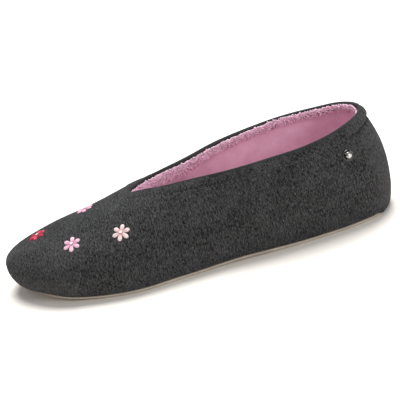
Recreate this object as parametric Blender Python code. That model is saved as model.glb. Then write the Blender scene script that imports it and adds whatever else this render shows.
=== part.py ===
"""Ballerina slipper for the left foot: a knit upper on a thin suede sole, with a padded insole,
a terry band inside the collar, four stitched flowers on the vamp and a metal stud at the heel.

Metres, +Z up. The toe points to -Y and the outer side of the foot is +X. The slipper stands on
z = 0 and is centred on the origin. Each rib of the upper is a curve that climbs from the sole's
edge round the widest line to the top: the collar's edge behind the throat, the ridge of the vamp
in front of it. A rib's place is one number, its turn: 0 at the heel's back, 1 at the throat and 2
at the toe's tip, on the outer side (side +1) or the inner side (side -1).
"""

import math
from collections import namedtuple

import bpy
import numpy as np
from mathutils import Vector
from mathutils.bvhtree import BVHTree

# Overall form
LENGTH = 0.245
BALL_WIDTH = 0.0854
HEEL_WIDTH = 0.0668
COLLAR_BACK_HEIGHT = 0.0648
THROAT_HEIGHT = 0.0481
RIDGE_END_HEIGHT = 0.0237
COLLAR_INSET = 0.0110
THROAT_SETBACK = 0.0837
RIDGE_SETBACK = 0.0111
OPENING_WIDTH = 0.0554
FOOT_CURVE = 0.0060
WIDEST_HEEL_HEIGHT = 0.0185
WIDEST_BALL_HEIGHT = 0.0135
WIDEST_TOE_HEIGHT = 0.0128

# Underside
TOE_SPRING = 0.0055
SPRING_SPAN = 0.0700
ARCH_LIFT = 0.0010
HEEL_TUCK = 0.0040
SIDE_TUCK = 0.0044
TOE_TUCK = 0.0062

# Thicknesses and clearances
WALL = 0.0025
SOLE_THICKNESS = 0.0020
SOLE_MARGIN = 0.0008
SOLE_ROUND = 0.0003
INSOLE_THICKNESS = 0.0040
INSOLE_ROUND = 0.0010
INSOLE_CROWN = 0.0008
GAP = 0.0003

# Hem: the knit is folded over an elastic and stitched, so a channel stands proud of the wall
HEM_WIDTH = 0.0070
HEM_RISE = 0.0005
STITCH_DIP = 0.0005
HEEL_HEM_RISE = 0.0013
HEEL_STITCH_DIP = 0.0012

# Terry band inside the collar
BAND_START = 0.0015
BAND_WIDTH = 0.0090
BAND_THICKNESS = 0.0022

# Trim
STUD_DIAMETER = 0.0070
STUD_HEIGHT = 0.0026
FLOWER_DIAMETER = 0.0102
FLOWER_THICKNESS = 0.0011

# Shares and reaches without a length of their own: how far along the collar the hem's bump at
# the heel reaches and where the hem starts to fade, in turns; how wide its stitched line is, in
# hem widths; how round the rim is, in walls; how deep and how full the petals are; how long the
# handles of a rib's curve are where it climbs and where it lies level
HEEL_HEM_REACH = 0.10
HEM_FADE = 0.25
STITCH_SPREAD = 0.16
RIM_ROUND = 0.30
PETAL_ROOT = 0.34
PETAL_SHAPE = 1.2
SLOPE_HANDLE = 0.33
LEVEL_HANDLE = 0.55
LEAN_POWER = 4

# Angles in degrees: how far the collar leans down to the outer side, lean of a rib from upright
# where it leaves a level ridge, and the sharpest edge that is still shaded smooth
COLLAR_TILT = 1.8
RIDGE_LEAN = 89.0
SHARP_ANGLE = 40.0

# Plan of the foot: half widths as shares of half the heel or ball width, and the sideways bend
# of the centre line as a share of FOOT_CURVE
Section = namedtuple("Section", "station heel ball bend")
SECTIONS = [
    Section(0.00, 0.000, 0.000, 0.00),
    Section(0.04, 0.675, 0.000, 0.00),
    Section(0.12, 0.912, 0.000, 0.02),
    Section(0.22, 1.000, 0.000, 0.11),
    Section(0.35, 1.048, 0.000, 0.28),
    Section(0.48, 0.530, 0.432, 0.24),
    Section(0.60, 0.000, 0.925, 0.08),
    Section(0.70, 0.000, 1.000, -0.07),
    Section(0.80, 0.000, 0.936, -0.24),
    Section(0.89, 0.000, 0.780, -0.45),
    Section(0.96, 0.000, 0.492, -0.86),
    Section(1.00, 0.000, 0.000, -1.00),
]

# Stations between which the widest line's height, the tuck and the waist's lift are read
WIDEST_STATIONS = [0.0, 0.3, 0.7, 1.0]
TUCK_STATIONS = [0.0, 0.15, 0.5, 0.75, 0.9, 1.0]
WAIST_START = 0.27
WAIST_MIDDLE = 0.41
WAIST_END = 0.55

# Collar from the heel's back to the throat: half opening as a share of half OPENING_WIDTH, height
# between the throat (0) and the back (1), and lean of the wall's edge from upright in degrees
Collar = namedtuple("Collar", "turn opening height lean")
COLLAR = [
    Collar(0.00, 0.000, 1.000, 20.0),
    Collar(0.05, 0.511, 0.957, 20.0),
    Collar(0.15, 0.807, 0.820, 21.0),
    Collar(0.295, 1.000, 0.695, 23.0),
    Collar(0.44, 0.977, 0.610, 27.0),
    Collar(0.59, 0.868, 0.487, 33.0),
    Collar(0.735, 0.617, 0.327, 45.0),
    Collar(0.86, 0.426, 0.198, 62.0),
    Collar(0.94, 0.250, 0.114, 80.0),
    Collar(1.00, 0.000, 0.000, 88.0),
]

# Terry band from the heel's back to the throat: how far below the edge it starts, its width and
# its thickness, as shares of BAND_START, BAND_WIDTH and BAND_THICKNESS, and how it hangs: along
# the wall (0) or straight down (1)
Band = namedtuple("Band", "turn start width thick hang")
BAND = [
    Band(0.00, 0.10, 0.60, 1.00, 0.00),
    Band(0.30, 0.15, 0.62, 1.00, 0.00),
    Band(0.45, 0.25, 0.66, 1.00, 0.10),
    Band(0.60, 0.50, 0.78, 1.00, 0.35),
    Band(0.75, 0.60, 0.95, 1.00, 0.70),
    Band(0.90, 0.50, 1.00, 0.90, 0.95),
    Band(1.00, 0.40, 0.80, 0.60, 1.00),
]

# Ridge of the vamp: height between its end at the toe (0) and the throat (1)
Ridge = namedtuple("Ridge", "turn height")
RIDGE = [
    Ridge(1.00, 1.000),
    Ridge(1.30, 0.697),
    Ridge(1.645, 0.433),
    Ridge(2.00, 0.000),
]

# Places of the trim on the upper: turn of the rib, side, share of the rib's length from its top,
# and how far the piece is turned about its own axis, in degrees
Place = namedtuple("Place", "name turn side down spin colour")
FLOWERS = [
    Place("flower_side_front", 1.515, 1, 0.370, 11.0, "pink_thread"),
    Place("flower_side_back", 1.135, 1, 0.440, 0.0, "pale_pink_thread"),
    Place("flower_ridge_back", 1.370, -1, 0.195, 20.0, "pale_pink_thread"),
    Place("flower_ridge_front", 1.810, -1, 0.110, 10.0, "red_thread"),
]
STUD = Place("heel_stud", 0.160, 1, 0.260, 0.0, "polished_metal")

# Profiles of the small pieces. Sole and insole: how far a ring is drawn in, in edge rounds, and
# its height in thicknesses. Band: how far down it, and whether on its front. Flower: size and
# height of a ring. Stud: radius and height.
SOLE_PROFILE = [(1.0, 1.0), (0.0, 0.7), (0.0, 0.2), (1.0, 0.0)]
INSOLE_PROFILE = [(0.0, 0.0), (0.0, 0.35), (0.0, 0.75), (1.0, 1.0)]
BAND_PROFILE = [(0.10, True), (0.40, True), (0.70, True), (0.93, True)]
BAND_PROFILE += [(1.0, False), (0.66, False), (0.33, False), (0.0, False)]
FLOWER_PROFILE = [(0.55, 1.0), (1.0, 0.35), (1.0, 0.0), (0.5, 0.0)]
STUD_PROFILE = [(1.0, 0.0), (1.0, 0.16), (0.90, 0.26), (0.78, 0.22), (0.68, 0.42)]
STUD_PROFILE += [(0.52, 0.72), (0.28, 0.93)]

# Linear colours of the materials, with their roughness and metallic value
Finish = namedtuple("Finish", "colour roughness metallic")
FINISHES = {
    "charcoal_knit": Finish((0.050, 0.051, 0.054), 0.95, 0.0),
    "beige_suede": Finish((0.310, 0.262, 0.215), 0.90, 0.0),
    "pink_lining": Finish((0.560, 0.270, 0.365), 0.90, 0.0),
    "pink_terry": Finish((0.660, 0.320, 0.440), 1.00, 0.0),
    "pink_thread": Finish((0.800, 0.320, 0.450), 0.55, 0.0),
    "pale_pink_thread": Finish((0.850, 0.520, 0.570), 0.55, 0.0),
    "red_thread": Finish((0.560, 0.015, 0.045), 0.55, 0.0),
    "polished_metal": Finish((0.720, 0.710, 0.690), 0.22, 1.0),
}

# Mesh fineness
COLLAR_RIBS = 28
VAMP_RIBS = 20
DENSE = 64
HEM_STEPS = [0.0, 0.22, 0.5, 0.8, 1.0, 1.2, 1.6]
SIDE_STEPS = [0.22, 0.44, 0.66, 0.85, 1.0]
FOOT_STEPS = [0.40, 0.70, 0.88, 1.0]
CROSS_STEPS = 6
PETALS = 6
PETAL_STEPS = 6
STUD_STEPS = 24
SMALL_STEP = 0.01


def smooth(knots, values, at):
    """Reads a smooth curve through the knots, with the slopes of a parabola through neighbours."""
    knots = np.asarray(knots, float)
    values = np.asarray(values, float)
    at = np.asarray(at, float)
    span = np.diff(knots)
    rise = np.diff(values) / span
    slope = np.empty_like(values)
    slope[1:-1] = (rise[:-1] * span[1:] + rise[1:] * span[:-1]) / (span[:-1] + span[1:])
    slope[0] = 2 * rise[0] - slope[1]
    slope[-1] = 2 * rise[-1] - slope[-2]
    k = np.clip(np.searchsorted(knots, at, side="right") - 1, 0, len(span) - 1)
    t = np.clip((at - knots[k]) / span[k], 0, 1)
    start = (1 + 2 * t) * (1 - t) ** 2 * values[k] + t * (1 - t) ** 2 * span[k] * slope[k]
    end = t * t * (3 - 2 * t) * values[k + 1] + t * t * (t - 1) * span[k] * slope[k + 1]
    return start + end


def rounded(knots, values, at):
    """The same for half widths: squares are smooth through a round end, where the width is 0."""
    return np.sqrt(np.maximum(0, smooth(knots, np.square(values), at)))


def column(table, name):
    return np.array([getattr(row, name) for row in table])


def throat_station():
    return 1 - THROAT_SETBACK / LENGTH


def half_width(station):
    halves = column(SECTIONS, "heel") * HEEL_WIDTH / 2 + column(SECTIONS, "ball") * BALL_WIDTH / 2
    return rounded(column(SECTIONS, "station"), halves, station)


def bend(station):
    return smooth(column(SECTIONS, "station"), column(SECTIONS, "bend") * FOOT_CURVE, station)


def centre(station):
    """The bent centre line, moved so that the plan's outline is centred on the origin."""
    everywhere = np.linspace(0, 1, DENSE)
    outer = np.max(bend(everywhere) + half_width(everywhere))
    inner = np.min(bend(everywhere) - half_width(everywhere))
    return bend(station) - (outer + inner) / 2


def y_at(station):
    return LENGTH / 2 - np.asarray(station) * LENGTH


def spring(y):
    """How far the underside rises towards the toe's tip."""
    along = np.clip((-np.asarray(y) - LENGTH / 2 + SPRING_SPAN) / SPRING_SPAN, 0, 1)
    return TOE_SPRING * along ** 2


def arch(y):
    """The small lift of the sole in the waist, between the heel's flat and the ball's flat."""
    station = (LENGTH / 2 - np.asarray(y)) / LENGTH
    lifted = (station > WAIST_START) & (station < WAIST_END)
    knots = [0, WAIST_START, WAIST_MIDDLE, WAIST_END, 1]
    return ARCH_LIFT * smooth(knots, [0, 0, 1, 0, 0], station) * lifted


def sole_bottom(y):
    return spring(y) + arch(y)


def sole_top(y):
    return sole_bottom(y) + SOLE_THICKNESS


def station_of(turn):
    """Station of the rib's widest point: the turn runs evenly from heel to throat to toe."""
    turn = np.asarray(turn, float)
    throat = throat_station()
    return np.where(turn <= 1, turn * throat, throat + (turn - 1) * (1 - throat))


def feather_line(side, turn):
    """The upper's lower edge on the sole: the widest line drawn in by the tuck."""
    station = station_of(turn)
    wide = half_width(station)
    tuck = smooth(
        TUCK_STATIONS,
        [HEEL_TUCK, HEEL_TUCK, SIDE_TUCK, SIDE_TUCK, (SIDE_TUCK + TOE_TUCK) / 2, TOE_TUCK],
        station,
    )
    share = np.clip(wide / (HEEL_WIDTH / 4), 0, 1)
    drawn = np.sqrt(wide * np.maximum(wide - tuck * share, 0))
    heel_end = HEEL_TUCK / LENGTH
    toe_end = TOE_TUCK / LENGTH
    y = y_at(heel_end + (1 - heel_end - toe_end) * station)
    return np.stack([centre(station) + side * drawn, y, sole_top(y) + GAP], -1)


def widest_line(side, turn):
    station = station_of(turn)
    height = smooth(
        WIDEST_STATIONS,
        [
            WIDEST_HEEL_HEIGHT,
            (WIDEST_HEEL_HEIGHT + WIDEST_BALL_HEIGHT) / 2,
            WIDEST_BALL_HEIGHT,
            WIDEST_TOE_HEIGHT,
        ],
        station,
    )
    y = y_at(station)
    return np.stack([centre(station) + side * half_width(station), y, height + spring(y)], -1)


def top_line(side, turn):
    """The collar's edge behind the throat and the ridge of the vamp in front of it."""
    turn = np.asarray(turn, float)
    throat = throat_station()
    start = COLLAR_INSET / LENGTH
    end = 1 - RIDGE_SETBACK / LENGTH
    behind = np.minimum(turn, 1)
    ahead = np.maximum(turn, 1)
    station = np.where(
        turn <= 1, start + (throat - start) * behind, throat + (end - throat) * (ahead - 1)
    )
    opening = rounded(column(COLLAR, "turn"), column(COLLAR, "opening"), behind) * OPENING_WIDTH / 2
    opening = np.where(turn < 1, opening, 0.0)
    collar_share = smooth(column(COLLAR, "turn"), column(COLLAR, "height"), behind)
    ridge_share = smooth(column(RIDGE, "turn"), column(RIDGE, "height"), ahead)
    collar_height = THROAT_HEIGHT + (COLLAR_BACK_HEIGHT - THROAT_HEIGHT) * collar_share
    collar_height = collar_height - side * opening * math.tan(math.radians(COLLAR_TILT))
    ridge_height = RIDGE_END_HEIGHT + (THROAT_HEIGHT - RIDGE_END_HEIGHT) * ridge_share
    y = y_at(station)
    height = np.where(turn <= 1, collar_height, ridge_height + spring(y))
    return np.stack([centre(station) + side * opening, y, height], -1)


def edge_lean(side, turn, forward):
    """Angle of the rib at its top from upright, in radians. A rib that runs forward off the
    vamp's ridge starts with the ridge's own slope, so the toe is round there."""
    behind = smooth(column(COLLAR, "turn"), column(COLLAR, "lean"), np.minimum(turn, 1))
    near = top_line(side, np.clip(turn - SMALL_STEP, 1, None))
    far = top_line(side, np.clip(turn + SMALL_STEP, 1 + SMALL_STEP, 2))
    slope = (near[:, 2] - far[:, 2]) / (near[:, 1] - far[:, 1])
    ahead = RIDGE_LEAN - np.degrees(np.arctan(slope * np.maximum(forward, 0)))
    return np.radians(np.where(turn <= 1, behind, ahead))


def rib_curves(side, turn):
    """Dense points of the outer wall's ribs from the top down: [rib, point, xyz]."""
    foot = feather_line(side, turn)[:, None]
    wide = widest_line(side, turn)[:, None]
    top = top_line(side, turn)[:, None]
    up = np.array([0.0, 0.0, 1.0])
    flat = (top - wide) * [1, 1, 0]
    reach = np.linalg.norm(flat, axis=-1, keepdims=True)
    climb = (top - wide)[..., 2:]
    back = unit(flat)
    lean = edge_lean(side, turn, back[:, 0, 1])[:, None, None]
    tangent = back * np.sin(lean) + up * np.cos(lean)
    level = np.sin(lean) ** LEAN_POWER
    handle = SLOPE_HANDLE * np.hypot(reach, climb) * (1 - level) + LEVEL_HANDLE * reach * level
    t = np.linspace(0, 1, DENSE)[None, :, None]
    above = (
        (1 - t) ** 3 * top
        + 3 * t * (1 - t) ** 2 * (top - tangent * handle)
        + 3 * t * t * (1 - t) * (wide + LEVEL_HANDLE * climb * up)
        + t ** 3 * wide
    )
    turned = np.linspace(0, math.pi / 2, DENSE // 2)[None, 1:, None]
    out_share = np.cos(turned)
    below = foot + (wide - foot) * np.concatenate(
        [out_share, out_share, 1 - np.sin(turned)], axis=-1
    )
    return np.concatenate([above, below], axis=1)


def along_curve(curve, lengths):
    """Points of one curve at these lengths from its start."""
    steps = np.linalg.norm(np.diff(curve, axis=0), axis=1)
    travelled = np.concatenate([[0], np.cumsum(steps)])
    return np.stack([np.interp(lengths, travelled, curve[:, k]) for k in range(3)], -1)


def curve_length(curve):
    return np.linalg.norm(np.diff(curve, axis=0), axis=1).sum()


def level_lengths(curve):
    """Lengths from the top at which a rib has its points: over the hem, the side and the foot."""
    hem = np.array(HEM_STEPS) * HEM_WIDTH
    widest = curve_length(curve[:DENSE])
    side = hem[-1] + np.array(SIDE_STEPS) * (widest - hem[-1])
    foot = widest + np.array(FOOT_STEPS) * (curve_length(curve) - widest)
    return np.concatenate([hem, side, foot])


def rib_turns():
    """Turns of the ribs on one side, closer together at the heel, the throat and the toe."""
    a = np.linspace(0, 1, COLLAR_RIBS + 1)
    collar = 0.375 * (1 - np.cos(math.pi * a)) + 0.25 * a
    b = np.linspace(0, 1, VAMP_RIBS + 1)[1:]
    vamp = 0.6 * np.sin(b * math.pi / 2) + 0.4 * b
    return np.concatenate([collar, 1 + vamp])


def ring_of(turns):
    """(side, turn) of each rib once round the foot: the outer side to the toe, then back."""
    return [(1, t) for t in turns] + [(-1, t) for t in turns[-2:0:-1]]


def wall_quads(index):
    """Quads of an outward wall over the grid of point numbers [rib of the ring, level]."""
    quads = []
    for near, far in zip(index, np.roll(index, -1, axis=0)):
        for j in range(index.shape[1] - 1):
            quads.append((near[j], far[j], far[j + 1], near[j + 1]))
    return [tuple(int(i) for i in quad) for quad in quads]


def normals_of(points, quads):
    """Outward unit normal at each point, from the faces that meet there."""
    quads = np.asarray(quads)
    face = np.cross(points[quads[:, 2]] - points[quads[:, 0]], points[quads[:, 3]] - points[quads[:, 1]])
    normal = np.zeros_like(points)
    for corner in range(4):
        np.add.at(normal, quads[:, corner], face)
    return unit(normal)


def unit(vectors):
    return vectors / np.maximum(np.linalg.norm(vectors, axis=-1, keepdims=True), 1e-12)


def hem_relief(lengths, turns):
    """How far the hem's channel stands out and its stitched line dips, along the normal."""
    at_heel = np.exp(-((turns / HEEL_HEM_REACH) ** 2))[:, None]
    fade = np.clip((1 - turns) / HEM_FADE, 0, 1)[:, None]
    rise = (HEM_RISE + (HEEL_HEM_RISE - HEM_RISE) * at_heel) * fade
    dip = (STITCH_DIP + (HEEL_STITCH_DIP - STITCH_DIP) * at_heel) * fade
    share = lengths / HEM_WIDTH
    channel = np.sin(math.pi * np.clip(share, 0, 1))
    stitched = np.exp(-(((share - 1) / STITCH_SPREAD) ** 2))
    return rise * channel - dip * stitched


class Wall:
    """The upper's surfaces, as points [rib of the ring, level from the top] at any depth."""

    def __init__(self):
        ring = ring_of(rib_turns())
        self.turns = np.array([turn for side, turn in ring])
        self.count = len(ring)
        curves = [rib_curves(side, np.array([turn]))[0] for side, turn in ring]
        lengths = np.array([level_lengths(curve) for curve in curves])
        grid = np.array([along_curve(curve, at) for curve, at in zip(curves, lengths)])
        self.levels = grid.shape[1]
        self.index = np.arange(self.count * self.levels).reshape(self.count, self.levels)
        # the ridge and the throat belong to both sides
        for k in range(COLLAR_RIBS, self.count // 2):
            self.index[self.count - k, 0] = self.index[k, 0]
        self.quads = wall_quads(self.index)
        self.smooth = grid.reshape(-1, 3)
        self.normals = normals_of(self.smooth, self.quads)
        self.relief = hem_relief(lengths, self.turns).reshape(-1, 1)
        self.foot = self.index[:, -1]
        edge = self.smooth[self.foot]
        along = np.roll(edge, -1, axis=0) - np.roll(edge, 1, axis=0)
        self.inward = unit(np.stack([along[:, 1], -along[:, 0], np.zeros(self.count)], -1))

    def at_depth(self, depth):
        """Points of the surface this far inside the smooth outer one, flat on the sole."""
        points = self.smooth - self.normals * depth
        points[self.foot] = self.smooth[self.foot] + self.inward * depth
        points[self.foot, 2] = sole_top(points[self.foot, 1]) + GAP
        return points

    def outer(self):
        return self.smooth + self.normals * self.relief

    def tree(self, depth):
        return BVHTree.FromPolygons(self.at_depth(depth).tolist(), self.quads)

    def collar_ring(self):
        """Ribs round the opening in order, from the throat round the heel and back."""
        behind = [k for k in range(self.count) if self.turns[k] <= 1]
        start = behind.index(self.count - COLLAR_RIBS)
        return (behind[start:] + behind[:start])[1:]

    def collar_frame(self):
        """Point, and direction from the opening into the wall, at each rib round the collar."""
        edge = self.index[self.collar_ring(), 0]
        points = self.smooth[edge]
        along = unit(np.roll(points, -1, axis=0) - np.roll(points, 1, axis=0))
        return edge, points, unit(np.cross(self.normals[edge], along))

    def place(self, place):
        """Frame of a piece of trim: point on the surface, first axis, second axis, normal."""
        turns = place.turn + np.array([-SMALL_STEP, 0.0, SMALL_STEP])
        curves = rib_curves(place.side, turns)
        spots = []
        for curve in curves:
            spots.append(along_curve(curve, np.array([place.down]) * curve_length(curve))[0])
        lower = np.array([place.down + SMALL_STEP])
        below = along_curve(curves[1], lower * curve_length(curves[1]))[0]
        forward = unit(spots[2] - spots[0])
        normal = unit(np.cross(forward, below - spots[1])) * place.side
        across = np.cross(normal, forward)
        spin = math.radians(place.spin)
        first = forward * math.cos(spin) + across * math.sin(spin)
        return spots[1], first, np.cross(normal, first), normal


def new_material(name):
    finish = FINISHES[name]
    material = bpy.data.materials.new(name)
    material.use_nodes = True
    shader = material.node_tree.nodes["Principled BSDF"]
    shader.inputs["Base Color"].default_value = (*finish.colour, 1)
    shader.inputs["Roughness"].default_value = finish.roughness
    shader.inputs["Metallic"].default_value = finish.metallic
    material.diffuse_color = (*finish.colour, 1)
    return material


def new_object(name, points, faces, material):
    """A mesh object from points and faces, shaded smooth, without the points no face uses."""
    used = sorted({i for face in faces for i in face})
    order = {old: new for new, old in enumerate(used)}
    mesh = bpy.data.meshes.new(name)
    mesh.from_pydata(
        [tuple(points[i]) for i in used], [], [[order[i] for i in face] for face in faces]
    )
    mesh.materials.append(new_material(material))
    mesh.shade_smooth()
    mesh.set_sharp_from_angle(angle=math.radians(SHARP_ANGLE))
    piece = bpy.data.objects.new(name, mesh)
    bpy.context.scene.collection.objects.link(piece)
    return piece


def ring_faces(rings, closed=True):
    """Quads between loops of point numbers, each loop a row; the last joins the first."""
    faces = []
    pairs = zip(rings, rings[1:] + rings[:1]) if closed else zip(rings, rings[1:])
    for upper, lower in pairs:
        for near in range(len(upper)):
            far = (near + 1) % len(upper)
            faces.append((upper[near], upper[far], lower[far], lower[near]))
    return faces


def make_upper(wall):
    """One hollow wall, open at the collar and underneath, with a rounded edge at the collar."""
    outer = wall.outer()
    inner = wall.at_depth(WALL)
    size = len(outer)
    points = list(outer) + list(inner)
    faces = list(wall.quads)
    faces += [tuple(i + size for i in reversed(quad)) for quad in wall.quads]
    foot = [int(i) for i in wall.foot]
    faces += ring_faces([foot, [i + size for i in foot]], closed=False)
    edge, _, down = wall.collar_frame()
    crest = (outer[edge] + inner[edge]) / 2 - down * WALL * RIM_ROUND
    rim = [int(i) for i in edge]
    top = list(range(len(points), len(points) + len(crest)))
    points += list(crest)
    faces += ring_faces([[i + size for i in rim], top, rim], closed=False)
    return new_object("upper", points, faces, "charcoal_knit")


def strips_across(ring, upward):
    """Quads that join each point of the outer side to its partner on the inner side."""
    count = len(ring)
    half = count // 2
    faces = []
    for k in range(half):
        quad = [ring[k], ring[k + 1], ring[(count - k - 1) % count], ring[(count - k) % count]]
        corners = list(dict.fromkeys(quad))
        faces.append(tuple(corners if upward else reversed(corners)))
    return faces


def make_outsole(wall):
    """Thin sole with the foot's outline, a lift at the waist and the toe's spring."""
    outline = wall.smooth[wall.foot] - wall.inward * SOLE_MARGIN
    points = []
    rings = []
    for drawn, share in SOLE_PROFILE:
        ring = outline + wall.inward * drawn * SOLE_ROUND
        ring[:, 2] = sole_bottom(ring[:, 1]) + SOLE_THICKNESS * share
        rings.append(list(range(len(points), len(points) + len(ring))))
        points += list(ring)
    faces = ring_faces(rings, closed=False)
    faces += strips_across(rings[0], upward=False)
    faces += strips_across(rings[-1], upward=True)
    return new_object("outsole", points, faces, "beige_suede")


def make_insole(wall):
    """Padded insole that fills the foot of the upper, with a soft shoulder and a crowned top."""
    inside = wall.at_depth(WALL + GAP)
    columns = inside[wall.index[:, ::-1]]
    above = columns[..., 2] - sole_top(columns[..., 1]) - GAP
    points = []
    rings = []
    for drawn, share in INSOLE_PROFILE:
        ring = np.empty((wall.count, 3))
        for k in range(wall.count):
            at = np.clip(share * INSOLE_THICKNESS, above[k, 0], None)
            ring[k, 0] = np.interp(at, above[k], columns[k, :, 0])
            ring[k, 1] = np.interp(at, above[k], columns[k, :, 1])
        ring += wall.inward * drawn * INSOLE_ROUND
        ring[:, 2] = sole_top(ring[:, 1]) + GAP + share * INSOLE_THICKNESS
        rings.append(list(range(len(points), len(points) + len(ring))))
        points += list(ring)
    faces = [tuple(reversed(face)) for face in ring_faces(rings, closed=False)]
    faces += strips_across(rings[0], upward=True)
    # the crowned top: rows across, from each point of the outer side to its partner
    half = wall.count // 2
    rows = []
    for k in range(half + 1):
        left = rings[-1][k]
        right = rings[-1][(wall.count - k) % wall.count]
        if left == right:
            rows.append([left] * (CROSS_STEPS + 1))
            continue
        row = [left]
        for j in range(1, CROSS_STEPS):
            share = j / CROSS_STEPS
            point = points[left] * (1 - share) + points[right] * share
            point = point + np.array([0, 0, INSOLE_CROWN * math.sin(math.pi * share)])
            row.append(len(points))
            points.append(point)
        rows.append(row + [right])
    for near, far in zip(rows, rows[1:]):
        for j in range(CROSS_STEPS):
            corners = list(dict.fromkeys([near[j], near[j + 1], far[j + 1], far[j]]))
            faces.append(tuple(corners))
    return new_object("insole", points, faces, "pink_lining")


def make_terry_band(wall):
    """Plush band round the inside of the collar, a clearance off the wall, with soft edges. At
    the throat the wall leans far over the foot, and there the band hangs straight down."""
    back = wall.tree(WALL + GAP)
    front = wall.tree(WALL + GAP + BAND_THICKNESS)
    edge, points_at_edge, down = wall.collar_frame()
    turns = wall.turns[wall.collar_ring()]
    start_share, width, thick, hang = (
        smooth(column(BAND, "turn"), column(BAND, name), turns)[:, None]
        for name in ("start", "width", "thick", "hang")
    )
    start = points_at_edge - wall.normals[edge] * (WALL + GAP) + down * start_share * BAND_START
    along = np.roll(start, -1, axis=0) - np.roll(start, 1, axis=0)
    inward = unit(np.stack([along[:, 1], -along[:, 0], np.zeros(len(along))], -1))
    points = []
    rings = []
    for share, on_front in BAND_PROFILE:
        tree = front if on_front else back
        reach = share * width * BAND_WIDTH
        on_wall = np.array([tree.find_nearest(Vector(spot))[0][:] for spot in start + down * reach])
        hanging = start + inward * thick * BAND_THICKNESS * on_front - [0, 0, 1] * reach
        rings.append(list(range(len(points), len(points) + len(start))))
        points += list(on_wall + (hanging - on_wall) * hang)
    faces = [tuple(reversed(face)) for face in ring_faces(rings)]
    return new_object("terry_band", points, faces, "pink_terry")


def make_flower(wall, place):
    """Raised stitched flower that lies on the upper's surface, with petals in one piece."""
    spot, first, second, _ = wall.place(place)
    count = PETALS * PETAL_STEPS
    angles = np.arange(count) * 2 * math.pi / count
    lobe = PETAL_ROOT + (1 - PETAL_ROOT) * np.abs(np.cos(PETALS / 2 * angles)) ** PETAL_SHAPE
    outline = np.cos(angles)[:, None] * first + np.sin(angles)[:, None] * second
    outline = outline * lobe[:, None] * FLOWER_DIAMETER / 2
    points = []
    rings = []
    for share, height in FLOWER_PROFILE:
        tree = wall.tree(-(GAP + height * FLOWER_THICKNESS))
        rings.append(list(range(len(points), len(points) + count)))
        for reach in outline:
            points.append(np.array(tree.find_nearest(Vector(spot + reach * share))[0]))
    faces = [tuple(reversed(face)) for face in ring_faces(rings, closed=False)]
    for ring, height, order in ((rings[0], 1.0, 1), (rings[-1], 0.0, -1)):
        middle = len(points)
        tree = wall.tree(-(GAP + height * FLOWER_THICKNESS))
        points.append(np.array(tree.find_nearest(Vector(spot))[0]))
        for near in range(count):
            faces.append((ring[near], ring[(near + 1) % count], middle)[::order])
    return new_object(place.name, points, faces, place.colour)


def make_stud(wall, place):
    """Domed stud with a thin rim, turned about the normal of the upper at its place."""
    spot, first, second, normal = wall.place(place)
    base = spot + normal * GAP
    angles = np.arange(STUD_STEPS) * 2 * math.pi / STUD_STEPS
    around = np.cos(angles)[:, None] * first + np.sin(angles)[:, None] * second
    points = []
    rings = []
    for radius, height in STUD_PROFILE:
        rings.append(list(range(len(points), len(points) + STUD_STEPS)))
        points += list(base + around * radius * STUD_DIAMETER / 2 + normal * height * STUD_HEIGHT)
    faces = ring_faces(rings, closed=False)
    faces.append(tuple(reversed(rings[0])))
    tip = len(points)
    points.append(base + normal * STUD_HEIGHT)
    for near in range(STUD_STEPS):
        faces.append((rings[-1][near], rings[-1][(near + 1) % STUD_STEPS], tip))
    return new_object(place.name, points, faces, place.colour)


def build():
    for piece in list(bpy.data.objects):
        bpy.data.objects.remove(piece)
    wall = Wall()
    make_upper(wall)
    make_outsole(wall)
    make_insole(wall)
    make_terry_band(wall)
    for place in FLOWERS:
        make_flower(wall, place)
    make_stud(wall, STUD)


build()
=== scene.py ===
# %% [markdown]
# # Dressing a ballerina slipper
#
# This lesson takes a finished construction model of a left slipper and gives it its looks.
# The construction model holds the real sizes and stays as it is. Here each of its plain
# solids gets a finely made piece in its place: the knit upper, its lining, the terry band
# inside the collar, the insole, the suede sole, the stitched flowers and the metal stud.
#
# Everything is in metres, +Z is up, the toe points to -Y and the outer side is +X.

# %% Load the construction model
import math
from collections import namedtuple

import bpy
import numpy as np
from mathutils import Matrix, Vector, noise
from mathutils.bvhtree import BVHTree
from mathutils.kdtree import KDTree


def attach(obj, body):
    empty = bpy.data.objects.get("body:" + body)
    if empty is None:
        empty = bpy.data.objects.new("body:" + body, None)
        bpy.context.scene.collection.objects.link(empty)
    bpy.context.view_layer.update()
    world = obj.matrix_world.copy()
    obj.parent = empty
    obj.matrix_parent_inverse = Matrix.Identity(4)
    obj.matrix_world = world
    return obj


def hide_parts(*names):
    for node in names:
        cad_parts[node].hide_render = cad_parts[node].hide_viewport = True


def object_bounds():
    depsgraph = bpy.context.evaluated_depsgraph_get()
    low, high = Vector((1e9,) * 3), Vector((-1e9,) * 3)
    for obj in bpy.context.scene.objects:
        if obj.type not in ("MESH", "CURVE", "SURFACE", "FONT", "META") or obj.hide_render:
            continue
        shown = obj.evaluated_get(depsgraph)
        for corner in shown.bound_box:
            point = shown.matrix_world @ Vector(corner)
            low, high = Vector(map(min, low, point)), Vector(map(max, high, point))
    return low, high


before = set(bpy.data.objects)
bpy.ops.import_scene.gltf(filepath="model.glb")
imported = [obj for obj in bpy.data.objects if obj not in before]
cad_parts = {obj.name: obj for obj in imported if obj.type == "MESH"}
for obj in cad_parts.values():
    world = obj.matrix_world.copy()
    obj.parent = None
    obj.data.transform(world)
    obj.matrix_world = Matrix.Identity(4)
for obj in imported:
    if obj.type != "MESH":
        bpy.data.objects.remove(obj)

cad_low, cad_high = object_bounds()
MM = 0.001
print("nodes:", sorted(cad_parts))
print("box in mm:", [round(side / MM, 1) for side in cad_high - cad_low])

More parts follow.
